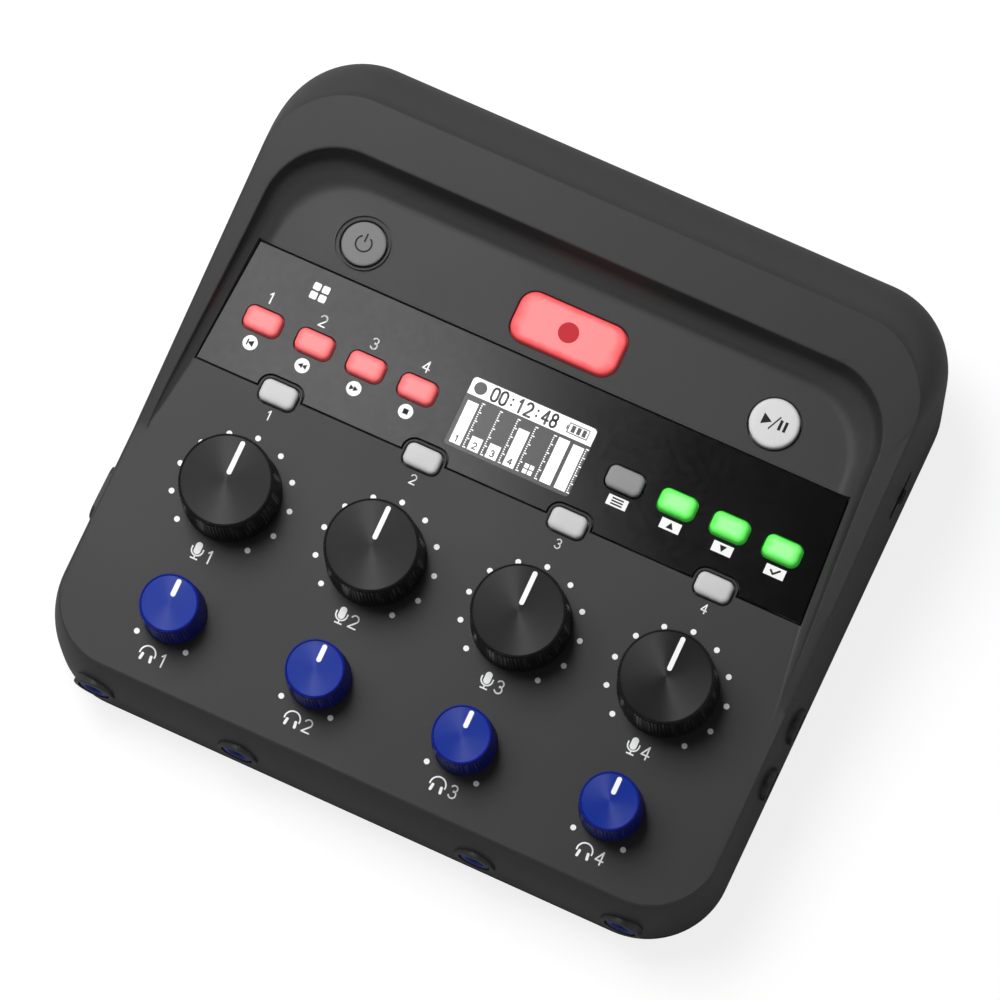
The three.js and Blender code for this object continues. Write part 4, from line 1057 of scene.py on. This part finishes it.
lit += [flat(bar(0.95, 0.95), 4.35 + sx, 30.0 + sy, lit_span) for sx in (-0.6, 0.6) for sy in (-0.6, 0.6)]
picture = [screen, back, printed("screen_bars", lit, screen_lit)]
for x in (-10.2, -6.1, -2.0, 2.1, 6.4, 13.75):
    for count, start, pitch, length in ((21, 0, 0.5, 0.3), (6, 0.2, 2.0, 0.7)):
        marks = row_of_bars("scale", count, (start, 0, 0), (0, pitch, 0), (length, 0.26, 0.04), screen_lit)
        marks.data.transform(panel_place @ shift(x, 28.9, glass_top - 0.005))
        picture.append(marks)
shut = [flat(circle(1.4, 0, 28), -12.0, strip_y, shut_span)]
shut += [flat(bar(width, depth), x, strip_y + rise, shut_span) for width, depth, x, rise in (
    (4.6, 0.22, 10.6, 1.05), (4.6, 0.22, 10.6, -1.05), (0.22, 2.3, 12.85, 0), (0.22, 2.3, 8.35, 0),
    (0.3, 1.0, 8.05, 0), (0.85, 1.55, 9.45, 0), (0.85, 1.55, 10.7, 0), (0.85, 1.55, 11.95, 0))]
shut += figures("00:12:48", 3.4, 0.5, -1.8, strip_y, shut_span, 0.57, 0.78)
for i, x in enumerate(list(bars)[:4]):
    shut += figures(str(i + 1), 1.6, 0.26, x, 29.95, shut_span)
picture.append(printed("screen_shut", shut, screen_dark))
display = settle(merged("display", picture), "case", "display_module", slot="display")
print("display:", len(display.data.polygons), "faces")

# %% [markdown]
# ## Jacks in the front and the right wall
# A jack shows a collar, a bore with a metal throat and, inside the case, its housing. Collar and
# throat are profiles spun round an axis and then laid along the wall's normal.

# %% Metals and jacks
def metal(name, tone, other, roughness, scratch):
    """Plated sheet or turned metal with fine scratches of that width in millimetres."""
    made, tree, shader = start_material(name)
    fine = noise(tree, scratch, 4.0)
    feed(shader, {
        "Base Color": blend(tree, tone, other, noise(tree, 5.0, 3.0)), "Normal": bumps(tree, fine, 0.004, 0.6),
        "Roughness": ramp(tree, fine, 0.0, 1.0, roughness - 0.08, roughness + 0.1), "Metallic": 1.0})
    return made


# Nickel plate on the throats, the port's shell and the contacts
nickel_plate = metal("nickel_plated_steel", "#b9b6ae", "#c8c5bd", 0.3, 0.2)
# Zinc-plated steel of the potentiometers' cans
zinc_plate = metal("zinc_plated_steel", "#9ea0a2", "#b0b2b4", 0.4, 0.3)
# Black phosphate on the screws
black_steel = metal("black_phosphate_steel", "#2c2c2d", "#3a3a3b", 0.48, 0.25)


def jack(name, radius, place, collar, depth=5.3):
    """Collar, throat and housing of one jack; z points out of the wall from its face."""
    ring = [(0, -depth), (radius, -depth), (radius, -0.3), (radius - 0.12, -0.08), (radius - 0.35, 0), (2.35, 0),
            (2.1, -0.12), (1.85, -0.5), (1.8, -0.9), (1.8, -depth + 0.4), (0, -depth + 0.4)]
    collar_piece = new_piece(name, turned(ring, 48), collar)
    carve(collar_piece, [prism(circle(1.8, 0, 48), -depth - 1, -depth + 2)])
    housing = new_piece(name + "_housing", prism(rounded(9, 6, 0.4, 0, 3), -depth - 11.5, -depth), socket_nylon)
    carve(housing, [prism(circle(1.85, 0, 32), -10, 1)])
    throat = turned([(0, -9.9), (1.79, -9.9), (1.79, -1.3), (1.58, -1.3), (1.58, -9.6), (0, -9.6)], 32)
    made = merged(name, [collar_piece, housing, new_piece(name + "_throat", throat, nickel_plate)])
    made.data.transform(place)
    return made


for i, x in enumerate(jack_x):
    place = shift(x, front_y - 0.35, jack_height) @ rotation(90, "X")
    collar_jack = jack(f"jack_headphone_{i + 1}", 3.3, place, collar_abs)
    settle(collar_jack, "case", f"headphone_jack_{i + 1}", slot="blue_ring")
for node, (y, radius) in side_jacks.items():
    place = shift(half_width + 0.65, y, side_height) @ rotation(90, "Y") @ rotation(90, "Z")
    settle(jack("jack_" + node, 2.9, place, socket_nylon, 5.65), "case", node, slot="socket_plastic")
print("jacks done")

# %% [markdown]
# ## Rear sockets
# Each microphone socket is one turned profile: a thick sleeve, a groove for the plug's shell and a
# core, drilled with three holes. A tree puts a plated contact in every hole.

# %% Rear sockets, port, card slot and sliding switch
contact_tree, given = new_tree("tubes_on_an_arc", {
    "Count": "Int", "Arc radius": "Float", "Tube radius": "Float", "Tube length": "Float"})
arc_points = add(contact_tree, "GeometryNodeMeshCircle", None, {
    "Vertices": given["Count"], "Radius": given["Arc radius"]})
path_end = add(contact_tree, "ShaderNodeCombineXYZ", None, {2: given["Tube length"]})
path = add(contact_tree, "GeometryNodeCurvePrimitiveLine", None, {"End": path_end})
section = add(contact_tree, "GeometryNodeCurvePrimitiveCircle", None, {
    "Resolution": 16, "Radius": given["Tube radius"]})
tube = add(contact_tree, "GeometryNodeCurveToMesh", None, {
    "Curve": path, "Profile Curve": section, "Fill Caps": True})
close_tree(contact_tree, tube, given, arc_points)

socket_profile = [
    (0, -20), (11.2, -20), (11.2, -5.9), (12.4, -5.9), (12.4, -4.3), (11.2, -4.3), (11.2, -0.5), (11.05, -0.15),
    (10.7, 0), (9.95, 0), (9.75, -0.12), (9.7, -0.4), (9.7, -11), (7.95, -11), (7.95, -0.7), (7.8, -0.4),
    (7.5, -0.3), (0, -0.3)]
pin_circle = 4.3
for channel, x in enumerate(socket_x):
    name = f"socket_{channel + 1}"
    socket = new_piece(name, turned(socket_profile, 72), socket_nylon)
    drills = [prism(moved(circle(1.25, 0, 20), pin_circle * math.cos(a), pin_circle * math.sin(a)), -9, 2)
              for a in (math.radians(d) for d in (-90, 30, 150))]
    carve(socket, drills + [prism(moved(rounded(2.6, 2.2, 0.3, 0, 3), 0, 7.4), -6, 2)])
    pins = run_tree(seed("pins"), contact_tree, {
        "Count": 3, "Arc radius": pin_circle * MM, "Tube radius": 1.1 * MM, "Tube length": 6.5 * MM,
        "Material": nickel_plate})
    pins.data.transform(shift(0, 0, -8.9) @ rotation(30, "Z"))
    merged(name, [socket, pins])
    socket.data.transform(shift(x, rear_y + 0.5, socket_height) @ rotation(-90, "X") @ rotation(180, "Z"))
    settle(socket, "case", f"mic_socket_{channel + 1}", slot="socket_plastic")

into_left_wall = rotation(90, "Y") @ rotation(90, "Z")
shell = new_piece("port", prism(rounded(10.1, 4.4, 2.18), 0, 8), nickel_plate)
mouth = [(x, -y) for x, y in reversed(rounded(8.9, 3.2, 1.58))]
carve(shell, [stack(lambda grow: mouth, [(0, -2), (0, 7.39), (0, 7.4)])])
tongue = new_piece("port_tongue", prism(rounded(6.7, 0.7, 0.3, 0, 4), 0.6, 7.6), socket_nylon)
contacts = row_of_bars("port_contacts", 12, (-2.75, 0.36, 2.2), (0.5, 0, 0), (0.26, 0.03, 2.6), nickel_plate)
merged("port", [shell, tongue, contacts])
shell.data.transform(shift(-half_width - 0.65, port_y, port_height) @ into_left_wall)
settle(shell, "case", "data_port", slot="shell_metal")

card = new_piece("card_slot_shell", prism(rounded(27.0, 4.4, 0.5, 0, 4), 0, 26), socket_nylon)
carve(card, [prism(rounded(25.4, 2.8, 0.3, 0, 4), -2, 25.2)])
spring = new_piece("card_spring", prism(rounded(20, 0.4, 0.15, 0, 3), 6, 25), nickel_plate)
spring.data.transform(shift(0, 1.2))
merged("card_slot_shell", [card, spring])
card.data.transform(shift(-half_width + 0.3, card_y, port_height) @ into_left_wall)
settle(card, "case", "card_slot", slot="shell_metal")

low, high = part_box("slide_switch")
switch_y, switch_z = (low.y + high.y) / 2 / MM, (low.z + high.z) / 2 / MM
nub = stack(lambda grow: rounded(3.1, 2.6, 0.4, grow, 4), ((0, 74.2), (0, 77.45), (-0.15, 77.6)))
nub = new_piece("switch_nub", on_wall(nub, 0, switch_y, switch_z, "x"), socket_nylon)
ribs = row_of_bars(
    "switch_ribs", 4, (77.62, switch_y - 1.05, switch_z), (0, 0.7, 0), (0.34, 0.3, 2.1), socket_nylon)
plate = wall_prism(rounded(20.1, 3.9, 0.5, 0, 4), 0, switch_y, switch_z, 73.1, 74.1, "x")
switch = merged("switch", [nub, ribs, new_piece("switch_plate", plate, socket_nylon)])
settle(switch, "slide_switch", "slide_switch", slot="socket_plastic")
print("walls done")

# %% [markdown]
# ## Base, battery door and feet
# The tray under the seam curls in towards the table. Its floor holds the battery bay, closed by a
# door with a grooved thumb pad, four rubber feet in pockets and six screws.

# %% Base and door
def block(half, front, rear):
    return [(half, front), (half, rear), (-half, rear), (-half, front)]


tray_steps = [(2.6, 1.5), (1.9, 1.62), (1.1, 2.1), (0.55, 2.8), (0.25, 3.4), (0.06, 4.3), (0.0, 5.3)]
tray_outside = loft([level_ring(inset, z) for inset, z in tray_steps])
# The tray wears the darker ABS, whose tone is painted shade
base = new_piece("cover_bottom", tray_outside, base_abs_painted_shade, angle=28)
bay_half, bay_front, bay_rear, bay_wall = 50.85, 14.0, 43.3, 1.5
bay_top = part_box("bottom_cover")[1].z / MM
carve(base, [loft([level_ring(wall, z) for z in (4.7, 10)])])
carve(base, [prism(block(bay_half + bay_wall, bay_front - bay_wall, bay_rear + bay_wall), 4.4, bay_top)], "UNION")
feet = [(sx * 63, sy * 57.5) for sx in (-1, 1) for sy in (-1, 1)]
screws = [(sx * screw_x, sy * screw_y) for sx in (-1, 1) for sy in (-1, 1)] + [(-24, -58), (24, -58)]
holes = [prism(block(bay_half, bay_front, bay_rear), -3, bay_top - bay_wall)]
holes += [prism(moved(circle(6.3, 0, 48), x, y), -3, 2.5) for x, y in feet]
sink = ((2.95, -3), (2.95, 1.5), (2.75, 1.8), (2.75, 3.4))
holes += [stack(lambda r: circle(r, 0, 32), sink, x, y) for x, y in screws]
carve(base, holes)
low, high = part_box("battery_door")
door_half, door_front, door_top, beyond = 53.85, low.y / MM, high.z / MM, 80


def door_plate(grow):
    """The door's section: a plate with a tongue along each side."""
    half, low, high, tongue = door_half + grow, 0.9 if grow else 1.5, door_top + grow, 2.4 - grow
    right = [(half, low), (half, tongue), (half + 1.5, tongue), (half + 1.5, high)]
    section = right + [(-x, z) for x, z in reversed(right)]
    return loft([[(x, y, z) for x, z in section] for y in (door_front - grow, beyond)])


carve(base, [door_plate(gap)])
settle(even(base, upwards, -upwards), "case", "bottom_cover", slot="base_plastic")
# The door wears the same darker ABS, whose tone is painted shade
door = carve(new_piece("door_battery", door_plate(0), base_abs_painted_shade, angle=28), [tray_outside], "INTERSECT")
pad_y = door_front + (bay_rear - door_front) / 2
carve(door, [prism(moved(rounded(22, 1.2, 0.55, 0, 6), 0, pad_y + (i - 2) * 2.4), -2, 2.1) for i in range(5)])
settle(even(door, upwards, -upwards), "battery_door", "battery_door", slot="base_plastic")
print("base:", len(base.data.polygons), "door:", len(door.data.polygons))

# %% Feet and screws
foot_profile = [(0, 0), (4.6, 0), (5.3, 0.12), (5.8, 0.5), (6, 1.0), (6, 2.2), (0, 2.2)]
for (x, y), node in zip(feet, ("foot_front_left", "foot_rear_left", "foot_front_right", "foot_rear_right")):
    pad = new_piece("pad_" + node, turned(foot_profile, 48), foot_rubber)
    pad.data.transform(shift(x, y))
    settle(pad, "case", node, slot="foot_rubber")

head_profile = [(0, -1.6), (1.3, -1.6), (1.3, -0.7), (2.5, -0.5), (2.5, 0.1), (2.3, 0.45), (1.7, 0.7), (0.8, 0.8),
                (0, 0.82)]
head = new_piece("screw_head", turned(head_profile, 24), black_steel)
carve(head, [prism(bar(2.6, 0.55), 0.1, 2), prism(bar(0.55, 2.6), 0.11, 2.1)])
screw_tree, given = new_tree("screws_on_points", {"Screw": "Object"})
shape = add(screw_tree, "GeometryNodeObjectInfo", None, {"Object": given["Screw"]}, "Geometry")
close_tree(screw_tree, shape, given, given["Geometry"])
spots = seed("case_screws")
spots.data.from_pydata([(x * MM, y * MM, -2.6 * MM) for x, y in screws], [], [])
run_tree(spots, screw_tree, {"Screw": head, "Material": black_steel})
spots.data.transform(rotation(180, "X"))
bpy.data.objects.remove(head)
settle(spots, "case")
print("screws:", len(screws))

# %% [markdown]
# ## Inner pieces
# Boards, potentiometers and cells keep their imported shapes, because they hide inside, and get the
# finish of the real thing.

# %% Finishes of the inner nodes
# Glass-epoxy board under a green solder mask
board_mask, tree, shader = start_material("board_solder_mask")
place = add(tree, "ShaderNodeTexCoord", out="Object")
tracks = add(tree, "ShaderNodeTexVoronoi", {"distance": "MANHATTAN"}, {"Scale": 1.0 / (3.0 * MM), "Vector": place})
lines = ramp(tree, tracks, 0.1, 0.16)
feed(shader, {"Base Color": blend(tree, "#2f6b45", "#1c4a2e", lines), "Normal": bumps(tree, lines, 0.03, 0.5),
              "Roughness": 0.35})
# Heat-shrunk PVC round the cells: glossy, with slight ripples
cell_sleeve = moulded("cell_pvc_sleeve", "#4b4f55", "#565b61", 0.3, 2.5, 0.02, cloud=12.0)
kept = {"main_board": board_mask, "panel_board": board_mask}
for i in range(1, 5):
    kept.update({f"mic_pot_{i}": zinc_plate, f"headphone_pot_{i}": zinc_plate, f"cell_{i}": cell_sleeve})
for node, material in kept.items():
    for held_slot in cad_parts[node].material_slots:
        held_slot.material = material
print("kept nodes:", len(kept))

# %% [markdown]
# ## Floor, light and camera
# A pale floor and a soft sky light everything evenly, and a long softbox behind and to the left gives
# the fans on the knobs and the sheen of the sheet. The camera stands where the photograph's stood.

# %% Floor
floor_paint, tree, shader = start_material("floor_matt_paint")
rays = add(tree, "ShaderNodeLightPath").node.outputs
mirrored_floor = maths(tree, "MULTIPLY_ADD", rays["Is Glossy Ray"], 0.05, rays["Is Camera Ray"])
all_seen = add(tree, "ShaderNodeMath", {"operation": "ADD", "use_clamp": True}, {
    0: mirrored_floor, 1: rays["Is Transmission Ray"]})
feed(shader, {
    "Base Color": blend(tree, "#808080", "#848484", noise(tree, 4.0, 2.0)), "Roughness": 0.9,
    "Emission Color": (1, 1, 1, 1), "Emission Strength": maths(tree, "MULTIPLY", all_seen, 0.82)})
floor_mesh = bpy.data.meshes.new("floor")
floor_mesh.from_pydata([(-4, -4, 0), (4, -4, 0), (4, 4, 0), (-4, 4, 0)], [], [(0, 1, 2, 3)])
floor_mesh.materials.append(floor_paint)
stand("floor", floor_mesh)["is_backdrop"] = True

# %% Light
world = bpy.data.worlds.new("studio_sky")
bpy.context.scene.world = world
world.use_nodes = True
sky = world.node_tree
direction = add(sky, "ShaderNodeTexCoord", out="Generated")
towards = add(sky, "ShaderNodeSeparateXYZ", None, {0: direction}, 2)
dome = ramp(sky, towards, 0.62, 0.88, 0.5, 0.02, "SMOOTHSTEP")
horizon = ramp(sky, towards, 0.2, 0.65, 0.08, 1.0, "SMOOTHSTEP")
backdrop = ramp(sky, towards, 0.05, 0.3, 1.0, 0.0)
rays = add(sky, "ShaderNodeLightPath").node.outputs
bounced = maths(sky, "MAXIMUM", rays["Is Glossy Ray"], rays["Is Transmission Ray"])
white = maths(sky, "MAXIMUM", rays["Is Camera Ray"], maths(sky, "MULTIPLY", bounced, backdrop))
level = add(sky, "ShaderNodeMix", None, {3: 1.0, 0: white, 2: maths(sky, "MULTIPLY", dome, horizon)})
feed(sky.nodes["Background"], {"Strength": level, "Color": (1, 1, 1, 1)})


def softbox(name, middle, width, depth, radiance):
    """A lamp panel that faces down, turned with the recorder in the picture; radiance is the white it shows."""
    lamp = bpy.data.lights.new(name, "AREA")
    lamp.shape = "RECTANGLE"
    lamp.size, lamp.size_y, lamp.energy = width, depth, radiance * math.pi * width * depth
    made = stand(name, lamp)
    made.location, made.rotation_euler = middle, (0, 0, math.radians(24))
    return made


softbox("softbox_above_left", (-0.297, 0.24, 1.03), 0.175, 0.64, 4.9)
overhead = softbox("diffuse_panel_overhead", (-0.28, 0.1, 0.6), 0.38, 0.38, 9.4)
overhead.visible_glossy = False  # behind a scrim: it lights, and no surface mirrors it
print("lamps:", [lamp.name for lamp in bpy.data.lights])

# %% Camera
eye = panel_place @ (Vector((169.2, -171.3, 1224.3)) * MM)
lean = Matrix.Rotation(panel_tilt, 3, "X")
right = (lean @ Vector((0.9059, 0.4195, -0.0578))).normalized()
behind = -(lean @ Vector((-0.1339, 0.1543, -0.9789))).normalized()
up = behind.cross(right).normalized()
right = up.cross(behind).normalized()
camera = stand("camera", bpy.data.cameras.new("camera"))
camera.matrix_world = Matrix.Translation(eye) @ Matrix((right, up, behind)).transposed().to_4x4()
camera.data.sensor_width = 36.0
camera.data.lens = 5.9796 * camera.data.sensor_width
camera.data.clip_start, camera.data.clip_end = 0.05, 20.0
bpy.context.scene.camera = camera
bpy.context.scene.view_settings.view_transform = "Standard"
print("camera at", [round(c, 3) for c in eye])

# %% [markdown]
# ## Sizes
# The box of the dressed recorder is printed.

# %% Sizes and the end
low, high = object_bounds()
print("visual box in mm", [round(c / MM, 2) for c in low], [round(c / MM, 2) for c in high])
